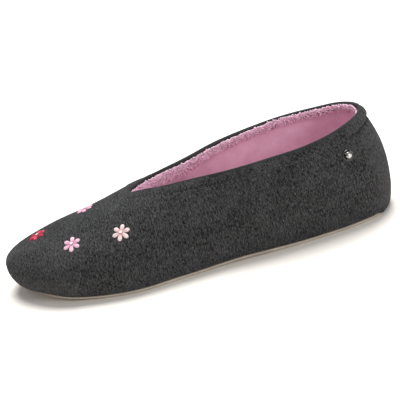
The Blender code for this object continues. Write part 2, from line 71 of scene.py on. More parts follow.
# %% [markdown]
# ## The camera
#
# The camera comes first, because it decides which details are worth making. It could be
# placed by eye, but a product picture is easier to match when the camera is worked out from
# angles: how far round the shoe it stands, how high, and how far it is rolled about its own
# line of sight. The roll makes the slipper climb to the right, as if laid on a slope, while
# it still stands flat on the floor.

# %% Place the camera
PHOTO_SIDE = 400
SENSOR = 36.0
AZIMUTH = math.radians(85.13)
ELEVATION = math.radians(23.84)
ROLL = math.radians(-12.61)
CAMERA_DISTANCE = 0.798
AIM = Vector((0, 0, 28 * MM))
FOCAL_PIXELS = 1294.5
LEFT_OF_MIDDLE = 3.85
BELOW_MIDDLE = 4.50

back = Vector((
    math.sin(AZIMUTH) * math.cos(ELEVATION),
    -math.cos(AZIMUTH) * math.cos(ELEVATION),
    math.sin(ELEVATION),
))
level_right = (-back).cross(Vector((0, 0, 1))).normalized()
level_up = level_right.cross(-back)
right = level_right * math.cos(ROLL) + level_up * math.sin(ROLL)
up = level_up * math.cos(ROLL) - level_right * math.sin(ROLL)

camera = bpy.data.objects.new("camera", bpy.data.cameras.new("camera"))
bpy.context.scene.collection.objects.link(camera)
bpy.context.scene.camera = camera
camera.matrix_world = Matrix.LocRotScale(
    AIM + back * CAMERA_DISTANCE, Matrix((right, up, back)).transposed(), None
)
camera.data.sensor_width = SENSOR
camera.data.lens = FOCAL_PIXELS / PHOTO_SIDE * SENSOR
camera.data.shift_x = LEFT_OF_MIDDLE / PHOTO_SIDE
camera.data.shift_y = BELOW_MIDDLE / PHOTO_SIDE
print(f"lens {camera.data.lens:.1f} mm, {CAMERA_DISTANCE / MM:.0f} mm away")

# %% [markdown]
# ## Floor and light
#
# A catalogue picture has a white sweep and light from all round, so the shoe throws only a
# soft shadow close to its sole. A white world gives that light. A wide soft key comes from
# high up and a little beyond the shoe: it models the top of the vamp and lays a short soft
# shadow on the camera's side, wide at the heel and narrow at the toe. A lamp near the shoe
# would light the floor in a patch, so the key is a sun with a very wide disc, which lights a
# floor evenly. A small fill from the camera's side reaches into the opening. The floor is a
# warm white, lit just past the brightest tone, so its shade starts close to the sole.

# %% Make the floor and the lights
FLOOR_HALF = 4.0
WORLD_LIGHT = (1.0, 0.990, 0.985)
WORLD_STRENGTH = 0.48
FLOOR_COLOUR = (0.930, 0.890, 0.840)
KEY_FROM = Vector((-0.38, 0.08, 1.0))
KEY_STRENGTH = 3.90
KEY_SPREAD = math.radians(36)
FILL_FROM = Vector((1.02, 0.92, 0.60))
FILL_SIZE = 0.4
FILL_WATTS = 5.8

bpy.context.scene.view_settings.view_transform = "Standard"
world = bpy.data.worlds.new("studio")
bpy.context.scene.world = world
world.use_nodes = True
world.node_tree.nodes["Background"].inputs["Color"].default_value = (*WORLD_LIGHT, 1)
world.node_tree.nodes["Background"].inputs["Strength"].default_value = WORLD_STRENGTH


def add_lamp(name, kind, place, strength):
    data = bpy.data.lights.new(name, kind)
    data.energy = strength
    lamp = bpy.data.objects.new(name, data)
    bpy.context.scene.collection.objects.link(lamp)
    lamp.location = place
    lamp.rotation_euler = (AIM - place).to_track_quat("-Z", "Y").to_euler()
    return data


key = add_lamp("key", "SUN", KEY_FROM, KEY_STRENGTH)
key.angle = KEY_SPREAD
fill = add_lamp("fill", "AREA", FILL_FROM, FILL_WATTS)
fill.size = FILL_SIZE

floor_mesh = bpy.data.meshes.new("floor")
corners = [(-FLOOR_HALF, -FLOOR_HALF), (FLOOR_HALF, -FLOOR_HALF)]
corners += [(FLOOR_HALF, FLOOR_HALF), (-FLOOR_HALF, FLOOR_HALF)]
floor_mesh.from_pydata([(x, y, 0) for x, y in corners], [], [(0, 1, 2, 3)])
floor = bpy.data.objects.new("floor", floor_mesh)
bpy.context.scene.collection.objects.link(floor)
print(f"key from {math.degrees(math.atan2(KEY_FROM.z, KEY_FROM.xy.length)):.0f} degrees up")

# %% [markdown]
# ## Building materials from nodes
#
# Every finish below is a small tree of shader nodes: noise and waves make a pattern, the
# pattern picks colours and raises a bump. This helper adds a node, sets its options and
# wires its inputs in one call, so a finish reads like a recipe. A number goes straight to
# its socket and an output is linked.

# %% A helper that writes node trees
class Finish:
    """The node tree of one material, added to node by node."""

    def __init__(self, name, roughness, metallic=0.0):
        self.material = bpy.data.materials.new(name)
        self.material.use_nodes = True
        self.tree = self.material.node_tree
        self.shader = self.tree.nodes["Principled BSDF"]
        self.shader.inputs["Roughness"].default_value = roughness
        self.shader.inputs["Metallic"].default_value = metallic

    def node(self, kind, options=None, **inputs):
        made = self.tree.nodes.new(kind)
        for name, value in (options or {}).items():
            setattr(made, name, value)
        for name, value in inputs.items():
            self.feed(made.inputs[name], value)
        return made

    def feed(self, socket, value):
        if isinstance(value, bpy.types.NodeSocket):
            self.tree.links.new(value, socket)
        else:
            socket.default_value = value

    def math(self, operation, first, second=0.0, third=0.0):
        made = self.tree.nodes.new("ShaderNodeMath")
        made.operation = operation
        for socket, value in zip(made.inputs, (first, second, third)):
            self.feed(socket, value)
        return made.outputs[0]

    def attribute(self, name):
        return self.node("ShaderNodeAttribute", {"attribute_name": name}).outputs["Fac"]

    def scaled(self, vector, scale):
        """The vector with each axis multiplied, so that 1 is one period of a pattern."""
        made = self.node("ShaderNodeVectorMath", {"operation": "MULTIPLY"})
        self.feed(made.inputs[0], vector)
        self.feed(made.inputs[1], scale)
        return made.outputs[0]

    def noise(self, vector, scale, detail):
        made = self.node("ShaderNodeTexNoise", Vector=vector, Scale=scale, Detail=detail)
        return made.outputs[0]

    def grain(self, size, detail=2.0):
        """Noise with patches of about this size, read from the place on the object."""
        place = self.node("ShaderNodeTexCoord").outputs["Object"]
        return self.noise(place, 1 / size, detail)

    def streaks(self, cloth, size, detail=2.0):
        """Noise stretched along the cloth; size is the width and the length of a streak."""
        return self.noise(self.scaled(cloth, (1 / size[0], 1 / size[1], 0)), 1.0, detail)

    def mixed(self, first, second, share):
        """Two patterns as one, with this share of the first."""
        return self.math("MULTIPLY_ADD", first, share, self.math("MULTIPLY", second, 1 - share))

    def ramp(self, value, low, high, to_low=0.0, to_high=1.0):
        made = self.node("ShaderNodeMapRange", Value=value)
        for socket, number in zip(made.inputs[1:5], (low, high, to_low, to_high)):
            socket.default_value = number
        return made.outputs[0]

    def blend(self, factor, first, second):
        made = self.node("ShaderNodeMix", {"data_type": "RGBA"})
        for socket, value in ((0, factor), (6, first), (7, second)):
            self.feed(made.inputs[socket], (*value, 1) if isinstance(value, tuple) else value)
        return made.outputs[2]

    def colour(self, value):
        self.feed(self.shader.inputs["Base Color"], value)

    def bump(self, height, distance, strength):
        made = self.node("ShaderNodeBump", Height=height, Distance=distance, Strength=strength)
        self.feed(self.shader.inputs["Normal"], made.outputs[0])

    def sheen(self, weight, roughness, tint=(1.0, 1.0, 1.0)):
        self.shader.inputs["Sheen Weight"].default_value = weight
        self.shader.inputs["Sheen Roughness"].default_value = roughness
        self.shader.inputs["Sheen Tint"].default_value = (*tint, 1)


floor_finish = Finish("pale_floor", roughness=0.9)
floor_finish.shader.inputs["Base Color"].default_value = (*FLOOR_COLOUR, 1)
floor_finish.shader.inputs["Specular IOR Level"].default_value = 0.1
floor_mesh.materials.append(floor_finish.material)
print("floor finish:", floor_finish.material.name)

# %% [markdown]
# ## The last
#
# A slipper takes its form from the last, a foot-shaped block. The construction model works
# its form out from a few lengths and short tables, and the same ones are repeated here, so
# every fine piece lies exactly where the plain solid was. A curve is read through each
# table's rows. Shares are of the named size that stands beside them.

# %% Sizes of the last
LENGTH = cad_high.y - cad_low.y
BALL_WIDTH = 85.4 * MM
HEEL_WIDTH = 66.8 * MM
COLLAR_BACK_HEIGHT = 64.8 * MM
THROAT_HEIGHT = 48.1 * MM
RIDGE_END_HEIGHT = 23.7 * MM
COLLAR_INSET = 11.0 * MM
THROAT_SETBACK = 83.7 * MM
RIDGE_SETBACK = 11.1 * MM
OPENING_WIDTH = 55.4 * MM
FOOT_CURVE = 6.0 * MM
WIDEST_HEEL_HEIGHT = 18.5 * MM
WIDEST_BALL_HEIGHT = 13.5 * MM
WIDEST_TOE_HEIGHT = 12.8 * MM
TOE_SPRING = 5.5 * MM
SPRING_SPAN = 70.0 * MM
ARCH_LIFT = 1.0 * MM
HEEL_TUCK = 4.0 * MM
SIDE_TUCK = 4.4 * MM
TOE_TUCK = 6.2 * MM
WALL = 2.5 * MM
SOLE_THICKNESS = 2.0 * MM
GAP = 0.3 * MM
print(f"slipper {LENGTH / MM:.1f} mm long, wall {WALL / MM:.1f} mm thick")

# %% Tables of the last
Section = namedtuple("Section", "station heel ball bend")
SECTIONS = [
    Section(0.00, 0.000, 0.000, 0.00),
    Section(0.04, 0.675, 0.000, 0.00),
    Section(0.12, 0.912, 0.000, 0.02),
    Section(0.22, 1.000, 0.000, 0.11),
    Section(0.35, 1.048, 0.000, 0.28),
    Section(0.48, 0.530, 0.432, 0.24),
    Section(0.60, 0.000, 0.925, 0.08),
    Section(0.70, 0.000, 1.000, -0.07),
    Section(0.80, 0.000, 0.936, -0.24),
    Section(0.89, 0.000, 0.780, -0.45),
    Section(0.96, 0.000, 0.492, -0.86),
    Section(1.00, 0.000, 0.000, -1.00),
]
Collar = namedtuple("Collar", "turn opening height lean")
COLLAR = [
    Collar(0.00, 0.000, 1.000, 20.0),
    Collar(0.05, 0.511, 0.957, 20.0),
    Collar(0.15, 0.807, 0.820, 21.0),
    Collar(0.295, 1.000, 0.695, 23.0),
    Collar(0.44, 0.977, 0.610, 27.0),
    Collar(0.59, 0.868, 0.487, 33.0),
    Collar(0.735, 0.617, 0.327, 45.0),
    Collar(0.86, 0.426, 0.198, 62.0),
    Collar(0.94, 0.250, 0.114, 80.0),
    Collar(1.00, 0.000, 0.000, 88.0),
]
Ridge = namedtuple("Ridge", "turn height")
RIDGE = [Ridge(1.00, 1.000), Ridge(1.30, 0.697), Ridge(1.645, 0.433), Ridge(2.00, 0.000)]
RIDGE_LEAN = 89.0
COLLAR_TILT = 1.8


def column(table, name):
    return np.array([getattr(row, name) for row in table])


def smooth(knots, values, at):
    """Reads a smooth curve through the knots, with the slopes of a parabola through neighbours."""
    knots = np.asarray(knots, float)
    values = np.asarray(values, float)
    at = np.asarray(at, float)
    span = np.diff(knots)
    rise = np.diff(values) / span
    slope = np.empty_like(values)
    slope[1:-1] = (rise[:-1] * span[1:] + rise[1:] * span[:-1]) / (span[:-1] + span[1:])
    slope[0] = 2 * rise[0] - slope[1]
    slope[-1] = 2 * rise[-1] - slope[-2]
    k = np.clip(np.searchsorted(knots, at, side="right") - 1, 0, len(span) - 1)
    t = np.clip((at - knots[k]) / span[k], 0, 1)
    start = (1 + 2 * t) * (1 - t) ** 2 * values[k] + t * (1 - t) ** 2 * span[k] * slope[k]
    end = t * t * (3 - 2 * t) * values[k + 1] + t * t * (t - 1) * span[k] * slope[k + 1]
    return start + end


def rounded(knots, values, at):
    """The same for half widths: squares are smooth through a round end, where the width is 0."""
    return np.sqrt(np.maximum(0, smooth(knots, np.square(values), at)))


def read(table, name, at, curve=smooth):
    """Reads a column of a table along the table's first column."""
    return curve(column(table, table[0]._fields[0]), column(table, name), at)


print("sections:", len(SECTIONS), "collar rows:", len(COLLAR))

# %% [markdown]
# ## Plan and underside
#
# Seen from above, the foot's outline is a half width on each side of a slightly bent centre
# line. Seen from the side, the sole lies flat under the heel and the ball, lifts a little in
# the waist and springs up at the toe.

# %% Read the plan and the underside
THROAT_STATION = 1 - THROAT_SETBACK / LENGTH
ARCH_FROM = 0.27
ARCH_TOP = 0.41
ARCH_TO = 0.55
PLAN_STEPS = 64


def half_width(station):
    halves = column(SECTIONS, "heel") * HEEL_WIDTH / 2 + column(SECTIONS, "ball") * BALL_WIDTH / 2
    return rounded(column(SECTIONS, "station"), halves, station)


def bend(station):
    return read(SECTIONS, "bend", station) * FOOT_CURVE


everywhere = np.linspace(0, 1, PLAN_STEPS)
OFF_CENTRE = (
    np.max(bend(everywhere) + half_width(everywhere))
    + np.min(bend(everywhere) - half_width(everywhere))
) / 2


def centre(station):
    return bend(station) - OFF_CENTRE


def y_at(station):
    return LENGTH / 2 - np.asarray(station) * LENGTH


def spring(y):
    along = np.clip((-np.asarray(y) - LENGTH / 2 + SPRING_SPAN) / SPRING_SPAN, 0, 1)
    return TOE_SPRING * along ** 2


def arch(y):
    station = (LENGTH / 2 - np.asarray(y)) / LENGTH
    lifted = (station > ARCH_FROM) & (station < ARCH_TO)
    share = smooth([0, ARCH_FROM, ARCH_TOP, ARCH_TO, 1], [0, 0, 1, 0, 0], station)
    return ARCH_LIFT * share * lifted


def sole_bottom(y):
    return spring(y) + arch(y)


def sole_top(y):
    return sole_bottom(y) + SOLE_THICKNESS


print(f"ball {2 * half_width(0.70) / MM:.1f} mm wide, heel {2 * half_width(0.22) / MM:.1f} mm")

# %% [markdown]
# ## Ribs of the upper
#
# The wall is laid out along ribs, as on a boat. Each rib starts at the collar's edge, or at
# the ridge of the vamp in front of the throat, swells out to the widest line and curls in to
# the sole. Its place is one number, the turn: 0 at the heel's back, 1 at the throat and 2 at
# the toe's tip. A rib is a Bezier curve from top to widest line and a quarter of an ellipse
# below it. A surface that is worked out like this can be made as fine as a render needs.

# %% Lines that the ribs run between
Tuck = namedtuple("Tuck", "station depth")
TUCKS = [
    Tuck(0.00, HEEL_TUCK),
    Tuck(0.15, HEEL_TUCK),
    Tuck(0.50, SIDE_TUCK),
    Tuck(0.75, SIDE_TUCK),
    Tuck(0.90, (SIDE_TUCK + TOE_TUCK) / 2),
    Tuck(1.00, TOE_TUCK),
]
Widest = namedtuple("Widest", "station height")
WIDEST = [
    Widest(0.0, WIDEST_HEEL_HEIGHT),
    Widest(0.3, (WIDEST_HEEL_HEIGHT + WIDEST_BALL_HEIGHT) / 2),
    Widest(0.7, WIDEST_BALL_HEIGHT),
    Widest(1.0, WIDEST_TOE_HEIGHT),
]


def station_of(turn):
    turn = np.asarray(turn, float)
    ahead = THROAT_STATION + (turn - 1) * (1 - THROAT_STATION)
    return np.where(turn <= 1, turn * THROAT_STATION, ahead)


def feather_line(side, turn):
    """The upper's lower edge on the sole: the widest line drawn in by the tuck."""
    station = station_of(turn)
    wide = half_width(station)
    tuck = read(TUCKS, "depth", station)
    # near the two ends, where the foot is narrow, the tuck shrinks with the width
    share = np.clip(wide / (HEEL_WIDTH / 4), 0, 1)
    drawn = np.sqrt(wide * np.maximum(wide - tuck * share, 0))
    heel_end = HEEL_TUCK / LENGTH
    toe_end = TOE_TUCK / LENGTH
    y = y_at(heel_end + (1 - heel_end - toe_end) * station)
    return np.stack([centre(station) + side * drawn, y, sole_top(y) + GAP], -1)


def widest_line(side, turn):
    station = station_of(turn)
    y = y_at(station)
    height = read(WIDEST, "height", station) + spring(y)
    return np.stack([centre(station) + side * half_width(station), y, height], -1)


def top_line(side, turn):
    """The collar's edge behind the throat and the ridge of the vamp in front of it."""
    turn = np.asarray(turn, float)
    start = COLLAR_INSET / LENGTH
    end = 1 - RIDGE_SETBACK / LENGTH
    behind = np.minimum(turn, 1)
    ahead = np.maximum(turn, 1)
    on_collar = start + (THROAT_STATION - start) * behind
    on_ridge = THROAT_STATION + (end - THROAT_STATION) * (ahead - 1)
    station = np.where(turn <= 1, on_collar, on_ridge)
    opening = read(COLLAR, "opening", behind, rounded) * OPENING_WIDTH / 2
    opening = np.where(turn < 1, opening, 0.0)
    collar_share = read(COLLAR, "height", behind)
    ridge_share = read(RIDGE, "height", ahead)
    collar_height = THROAT_HEIGHT + (COLLAR_BACK_HEIGHT - THROAT_HEIGHT) * collar_share
    collar_height = collar_height - side * opening * math.tan(math.radians(COLLAR_TILT))
    ridge_height = RIDGE_END_HEIGHT + (THROAT_HEIGHT - RIDGE_END_HEIGHT) * ridge_share
    y = y_at(station)
    height = np.where(turn <= 1, collar_height, ridge_height + spring(y))
    return np.stack([centre(station) + side * opening, y, height], -1)


throat = top_line(1, np.array([1.0]))[0]
print(f"throat {throat[2] / MM:.1f} mm high, {(throat[1] + LENGTH / 2) / MM:.1f} mm behind the toe")

# %% Curves of the ribs
DENSE = 64
SLOPE_HANDLE = 0.33
LEVEL_HANDLE = 0.55
LEAN_POWER = 4
SMALL_STEP = 0.01


def unit(vectors):
    return vectors / np.maximum(np.linalg.norm(vectors, axis=-1, keepdims=True), 1e-12)


def edge_lean(side, turn, forward):
    """Angle of the rib at its top from upright, in radians. A rib that runs forward off the
    vamp's ridge starts with the ridge's own slope, so the toe is round there."""
    behind = read(COLLAR, "lean", np.minimum(turn, 1))
    near = top_line(side, np.clip(turn - SMALL_STEP, 1, None))
    far = top_line(side, np.clip(turn + SMALL_STEP, 1 + SMALL_STEP, 2))
    slope = (near[:, 2] - far[:, 2]) / (near[:, 1] - far[:, 1])
    ahead = RIDGE_LEAN - np.degrees(np.arctan(slope * np.maximum(forward, 0)))
    return np.radians(np.where(turn <= 1, behind, ahead))


def rib_curves(side, turn):
    """Dense points of the outer wall's ribs from the top down: [rib, point, xyz]."""
    foot = feather_line(side, turn)[:, None]
    wide = widest_line(side, turn)[:, None]
    top = top_line(side, turn)[:, None]
    upward = np.array([0.0, 0.0, 1.0])
    flat = (top - wide) * [1, 1, 0]
    reach = np.linalg.norm(flat, axis=-1, keepdims=True)
    climb = (top - wide)[..., 2:]
    backward = unit(flat)
    lean = edge_lean(side, turn, backward[:, 0, 1])[:, None, None]
    tangent = backward * np.sin(lean) + upward * np.cos(lean)
    level = np.sin(lean) ** LEAN_POWER
    handle = SLOPE_HANDLE * np.hypot(reach, climb) * (1 - level) + LEVEL_HANDLE * reach * level
    t = np.linspace(0, 1, DENSE)[None, :, None]
    above = (
        (1 - t) ** 3 * top
        + 3 * t * (1 - t) ** 2 * (top - tangent * handle)
        + 3 * t * t * (1 - t) * (wide + LEVEL_HANDLE * climb * upward)
        + t ** 3 * wide
    )
    turned = np.linspace(0, math.pi / 2, DENSE // 2)[None, 1:, None]
    shares = np.concatenate([np.cos(turned), np.cos(turned), 1 - np.sin(turned)], axis=-1)
    return np.concatenate([above, foot + (wide - foot) * shares], axis=1)


def travelled(curve):
    steps = np.linalg.norm(np.diff(curve, axis=0), axis=1)
    return np.concatenate([[0], np.cumsum(steps)])


def along_curve(curve, lengths):
    """Points of one curve at these lengths from its start."""
    reached = travelled(curve)
    return np.stack([np.interp(lengths, reached, curve[:, k]) for k in range(3)], -1)


heel_rib = rib_curves(1, np.array([0.0]))[0]
print(f"the rib at the heel's back is {travelled(heel_rib)[-1] / MM:.1f} mm long")

# %% [markdown]
# ## A fine grid over the wall
#
# The ribs and the levels along them make a grid. The points are closer together near the
# collar, where the folded hem needs them. Two more things are measured on the grid, in real
# lengths: how far each point is from the collar's edge, and where it lies on the cloth, so
# that a knit pattern is the same size all over. The cloth's first coordinate is the way
# round the foot, counted from the throat, and its second the way down the rib.

# %% Lay out the grid
HEM_WIDTH = 7.0 * MM
COLLAR_RIBS = 124
VAMP_RIBS = 92
COLLAR_EVEN = 0.25
VAMP_EVEN = 0.4
HEM_REACH = 1.6
HEM_LEVELS = 20
SIDE_LEVELS = 26
FOOT_LEVELS = 12


def rib_turns():
    """Turns of the ribs on one side, closer together at the heel, the throat and the toe."""
    a = np.linspace(0, 1, COLLAR_RIBS + 1)
    collar = (1 - COLLAR_EVEN) / 2 * (1 - np.cos(math.pi * a)) + COLLAR_EVEN * a
    b = np.linspace(0, 1, VAMP_RIBS + 1)[1:]
    vamp = 1 + (1 - VAMP_EVEN) * np.sin(b * math.pi / 2) + VAMP_EVEN * b
    return np.concatenate([collar, vamp])


def level_lengths(curve):
    hem = np.linspace(0, HEM_REACH, HEM_LEVELS + 1) * HEM_WIDTH
    reached = travelled(curve)
    widest = reached[DENSE - 1]
    side = np.linspace(hem[-1], widest, SIDE_LEVELS + 1)[1:]
    foot = np.linspace(widest, reached[-1], FOOT_LEVELS + 1)[1:]
    return np.concatenate([hem, side, foot])


def normals_of(points, quads):
    """Outward unit normal at each point, from the faces that meet there."""
    corner = points[quads]
    face = np.cross(corner[:, 2] - corner[:, 0], corner[:, 3] - corner[:, 1])
    normal = np.zeros_like(points)
    for k in range(4):
        np.add.at(normal, quads[:, k], face)
    return unit(normal)


class Wall:
    """The upper's surfaces, as points [rib of the ring, level from the top] at any depth."""

    def __init__(self):
        turns = rib_turns()
        ring = [(1, t) for t in turns] + [(-1, t) for t in turns[-2:0:-1]]
        self.turns = np.array([turn for _, turn in ring])
        self.count = len(ring)
        self.half = self.count // 2
        curves = [rib_curves(side, np.array([turn]))[0] for side, turn in ring]
        self.lengths = np.array([level_lengths(curve) for curve in curves])
        grid = np.array([along_curve(c, at) for c, at in zip(curves, self.lengths)])
        self.levels = grid.shape[1]
        self.index = np.arange(self.count * self.levels).reshape(self.count, self.levels)
        # the ridge and the throat belong to both sides
        for k in range(COLLAR_RIBS, self.half):
            self.index[self.count - k, 0] = self.index[k, 0]
        following = np.roll(self.index, -1, axis=0)
        quads = [self.index[:, :-1], following[:, :-1], following[:, 1:], self.index[:, 1:]]
        self.quads = np.stack(quads, -1).reshape(-1, 4)
        self.outside = grid.reshape(-1, 3)
        self.normals = normals_of(self.outside, self.quads)
        self.foot = self.index[:, -1]
        edge = self.outside[self.foot]
        along = np.roll(edge, -1, axis=0) - np.roll(edge, 1, axis=0)
        self.inward = unit(np.stack([along[:, 1], -along[:, 0], np.zeros(self.count)], -1))

    def at_depth(self, depth):
        """Points of the surface this far inside the smooth outer one, flat on the sole."""
        points = self.outside - self.normals * depth
        foot_depth = depth if np.isscalar(depth) else depth[self.foot]
        points[self.foot] = self.outside[self.foot] + self.inward * foot_depth
        points[self.foot, 2] = sole_top(points[self.foot, 1]) + GAP
        return points

    def tree(self, depth):
        return BVHTree.FromPolygons(self.at_depth(depth).tolist(), self.quads.tolist())

    def collar_ring(self):
        """Ribs round the opening in order, from the throat round the heel and back."""
        behind = [k for k in range(self.count) if self.turns[k] <= 1]
        start = behind.index(self.count - COLLAR_RIBS)
        return np.array((behind[start:] + behind[:start])[1:])

    def collar_frame(self, ribs):
        """Point, and direction from the opening into the wall, at each of these ribs' tops."""
        edge = self.index[ribs, 0]
        points = self.outside[edge]
        along = unit(np.roll(points, -1, axis=0) - np.roll(points, 1, axis=0))
        return edge, points, unit(np.cross(self.normals[edge], along))


wall = Wall()
print(f"wall: {wall.count} ribs by {wall.levels} levels")

# %% Measure how far each point is from the collar's edge
EDGE_SPOTS = 1600
collar_ribs = wall.collar_ring()
edge, edge_points, edge_down = wall.collar_frame(collar_ribs)
edge_ring = np.concatenate([edge_points, edge_points[:1]])
edge_way = travelled(edge_ring)
COLLAR_LENGTH = edge_way[-1]
edge_tree = KDTree(EDGE_SPOTS)
edge_spots = along_curve(edge_ring, np.linspace(0, COLLAR_LENGTH, EDGE_SPOTS, endpoint=False))
for number, spot in enumerate(edge_spots):
    edge_tree.insert(Vector(spot), number)
edge_tree.balance()
found = [edge_tree.find(Vector(point)) for point in wall.outside]
from_edge = np.array([distance for _, _, distance in found])
round_edge = np.array([number for _, number, _ in found]) / EDGE_SPOTS * COLLAR_LENGTH
print(f"collar {COLLAR_LENGTH / MM:.0f} mm round")

# %% Measure each point's place on the cloth
# along the sides every level counts the way along the widest line, so the wales follow the
# ribs; round the heel and the toe each level counts its own way, so they keep their spacing
STRAIGHT_FROM = 0.2
STRAIGHT_TO = 1.3
grid = wall.outside[wall.index]
way_round = np.zeros((wall.count, wall.levels))
inner_side = [0] + list(range(wall.count - 1, wall.half - 1, -1))
for rows in (np.arange(wall.half + 1), np.array(inner_side)):
    steps = np.linalg.norm(np.diff(grid[rows], axis=0), axis=-1)
    middle = (wall.turns[rows][1:] > STRAIGHT_FROM) & (wall.turns[rows][1:] < STRAIGHT_TO)
    steps[middle] = steps[middle][:, [HEM_LEVELS + SIDE_LEVELS]]
    way = np.concatenate([np.zeros((1, wall.levels)), np.cumsum(steps, axis=0)])
    way_round[rows] = way - way[COLLAR_RIBS]
print(f"cloth of the vamp reaches {way_round[wall.half, 0] / MM:.0f} mm along the ridge")

# %% [markdown]
# ## Making pieces
#
# Each piece is a mesh made from points and faces. The first helper shades it smooth, gives it
# its finish, lets it ride with the slipper and hides the plain solids it stands for. The
# others add loops of points, join them with quads, and find the open edges of a patch, so
# that a patch of the wall's grid can become a sheet of cloth with two faces and closed edges.

# %% Helpers for pieces
def make_piece(name, points, faces, finish, slot, nodes=(), sharp=60):
    """Makes the mesh of one piece; gives the piece and the numbers of the points it uses."""
    mesh = bpy.data.meshes.new(name)
    used = sorted({int(i) for face in faces for i in face})
    order = {old: new for new, old in enumerate(used)}
    mesh.from_pydata(
        [tuple(points[i]) for i in used], [], [[order[int(i)] for i in face] for face in faces]
    )
    mesh.materials.append(finish.material)
    mesh.shade_smooth()
    mesh.set_sharp_from_angle(angle=math.radians(sharp))
    piece = bpy.data.objects.new(name, mesh)
    bpy.context.scene.collection.objects.link(piece)
    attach(piece, "root")
    if nodes:
        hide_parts(*nodes)
    print(f"{name}: {sum(len(face) - 2 for face in faces)} triangles")
    return piece, np.array(used)


def give_values(piece, used, name, values):
    """Stores one number for each point, which a finish can read by name."""
    layer = piece.data.attributes.new(name, "FLOAT", "POINT")
    layer.data.foreach_set("value", np.asarray(values, np.float32)[used])


def add_ring(points, ring):
    """Adds a loop of points to the list and gives their numbers."""
    start = len(points)
    points += list(ring)
    return list(range(start, len(points)))


def ring_faces(rings, closed=False):
    """Quads between loops of point numbers, each loop a row; closed joins the last to the first."""
    faces = []
    pairs = zip(rings, rings[1:] + rings[:1]) if closed else zip(rings, rings[1:])
    for upper, lower in pairs:
        for near in range(len(upper)):
            far = (near + 1) % len(upper)
            faces.append((upper[near], upper[far], lower[far], lower[near]))
    return faces


def open_edges(quads):
    """Edges that only one of the quads has, in the direction in which it has them."""
    edges = {}
    for quad in quads:
        corners = [c for k, c in enumerate(quad) if c != quad[k - 1]]
        for first, second in zip(corners, corners[1:] + corners[:1]):
            if (second, first) in edges:
                del edges[second, first]
            else:
                edges[first, second] = True
    return list(edges)


def join_parts(parts):
    """Many (points, faces) as one."""
    points = []
    faces = []
    for part_points, part_faces in parts:
        faces += [tuple(int(i) + len(points) for i in face) for face in part_faces]
        points += list(part_points)
    return points, faces


print("a quad alone has", len(open_edges([(0, 1, 2, 3)])), "open edges")

# %% Helpers for round forms
def swing(first, second, angle):
    """The direction at this angle from the first of two axes towards the second."""
    return first * math.cos(angle) + second * math.sin(angle)


def circle(first, second, sides):
    """Directions from a centre to each of these many points round it."""
    angles = np.arange(sides) * 2 * math.pi / sides
    return np.cos(angles)[:, None] * first + np.sin(angles)[:, None] * second


def ease(share):
    """A soft step from 0 to 1."""
    share = np.clip(share, 0, 1)
    return share ** 2 * (3 - 2 * share)


print("a quarter of the way, the soft step has risen", ease(0.25))

# %% [markdown]
# ## Soft relief of the upper
#
# Cloth pulled over a last is never quite smooth. The knit is folded over an elastic at the
# collar and stitched down, which leaves a round channel and a dented line below it. At the
# heel's back the channel stands out most. Further down the knit has a few long, very shallow
# troughs and ridges, where it was pulled towards the sole. They are listed one by one, each
# from one spot of the wall to another, and a little slow noise keeps the surface alive.

# %% Relief of the hem
HEM_RISE = 0.5 * MM
STITCH_DIP = 0.5 * MM
HEEL_HEM_RISE = 1.3 * MM
HEEL_STITCH_DIP = 1.2 * MM
HEEL_HEM_REACH = 0.10
HEM_FADE = 0.25
THROAT_HEM_SHARE = 0.45
STITCH_SPREAD = 0.16
GATHER_LENGTH = 6.5 * MM
GATHER_DEPTH = 0.13 * MM
GATHER_WANDER = 9 * MM
GATHER_UNEVEN = 2
GATHER_PLACE = 1.05
GATHER_SPREAD = 0.55


def hem_relief():
    """The round channel, the dented stitch line below it, and the small gathers of both."""
    turns = np.zeros(len(wall.outside))
    turns[wall.index] = wall.turns[:, None]
    at_heel = np.exp(-((turns / HEEL_HEM_REACH) ** 2))
    fade = np.clip((1 - turns) / HEM_FADE, THROAT_HEM_SHARE, 1)
    rise = (HEM_RISE + (HEEL_HEM_RISE - HEM_RISE) * at_heel) * fade
    dip = (STITCH_DIP + (HEEL_STITCH_DIP - STITCH_DIP) * at_heel) * fade
    share = from_edge / HEM_WIDTH
    channel = np.sin(math.pi * np.clip(share, 0, 1))
    stitched = np.exp(-(((share - 1) / STITCH_SPREAD) ** 2))
    uneven = GATHER_UNEVEN * np.sin(round_edge / GATHER_WANDER)
    gather = np.sin(2 * math.pi * round_edge / GATHER_LENGTH + uneven)
    gathered = GATHER_DEPTH * gather * np.exp(-(((share - GATHER_PLACE) / GATHER_SPREAD) ** 2))
    return rise * channel - dip * stitched + gathered


relief = hem_relief()
print(f"hem from {relief.min() / MM:.2f} to {relief.max() / MM:.2f} mm")

# %% Listed creases, and slow noise
WANDER_SIZE = 13 * MM
WANDER_DEPTH = 0.16 * MM
CREASE_STEPS = 24
CREASE_END = 0.02
CREASE_FULLNESS = 0.7
Crease = namedtuple("Crease", "side turn down to_turn to_down width height")
CREASES = [
    Crease(1, 0.93, 0.30, 0.55, 0.62, 5.5 * MM, -0.45 * MM),
    Crease(1, 0.80, 0.16, 0.42, 0.50, 5.0 * MM, 0.40 * MM),
    Crease(1, 0.62, 0.50, 0.30, 0.80, 6.0 * MM, -0.35 * MM),
    Crease(1, 0.30, 0.25, 0.12, 0.70, 5.0 * MM, -0.40 * MM),
    Crease(1, 1.10, 0.35, 1.02, 0.85, 6.0 * MM, -0.30 * MM),
    Crease(1, 1.42, 0.45, 1.50, 0.88, 5.0 * MM, -0.25 * MM),
    Crease(-1, 0.90, 0.30, 0.50, 0.65, 6.0 * MM, -0.45 * MM),
    Crease(-1, 0.40, 0.30, 0.20, 0.80, 5.0 * MM, -0.35 * MM),
    Crease(-1, 1.15, 0.40, 1.05, 0.85, 6.0 * MM, -0.30 * MM),
]


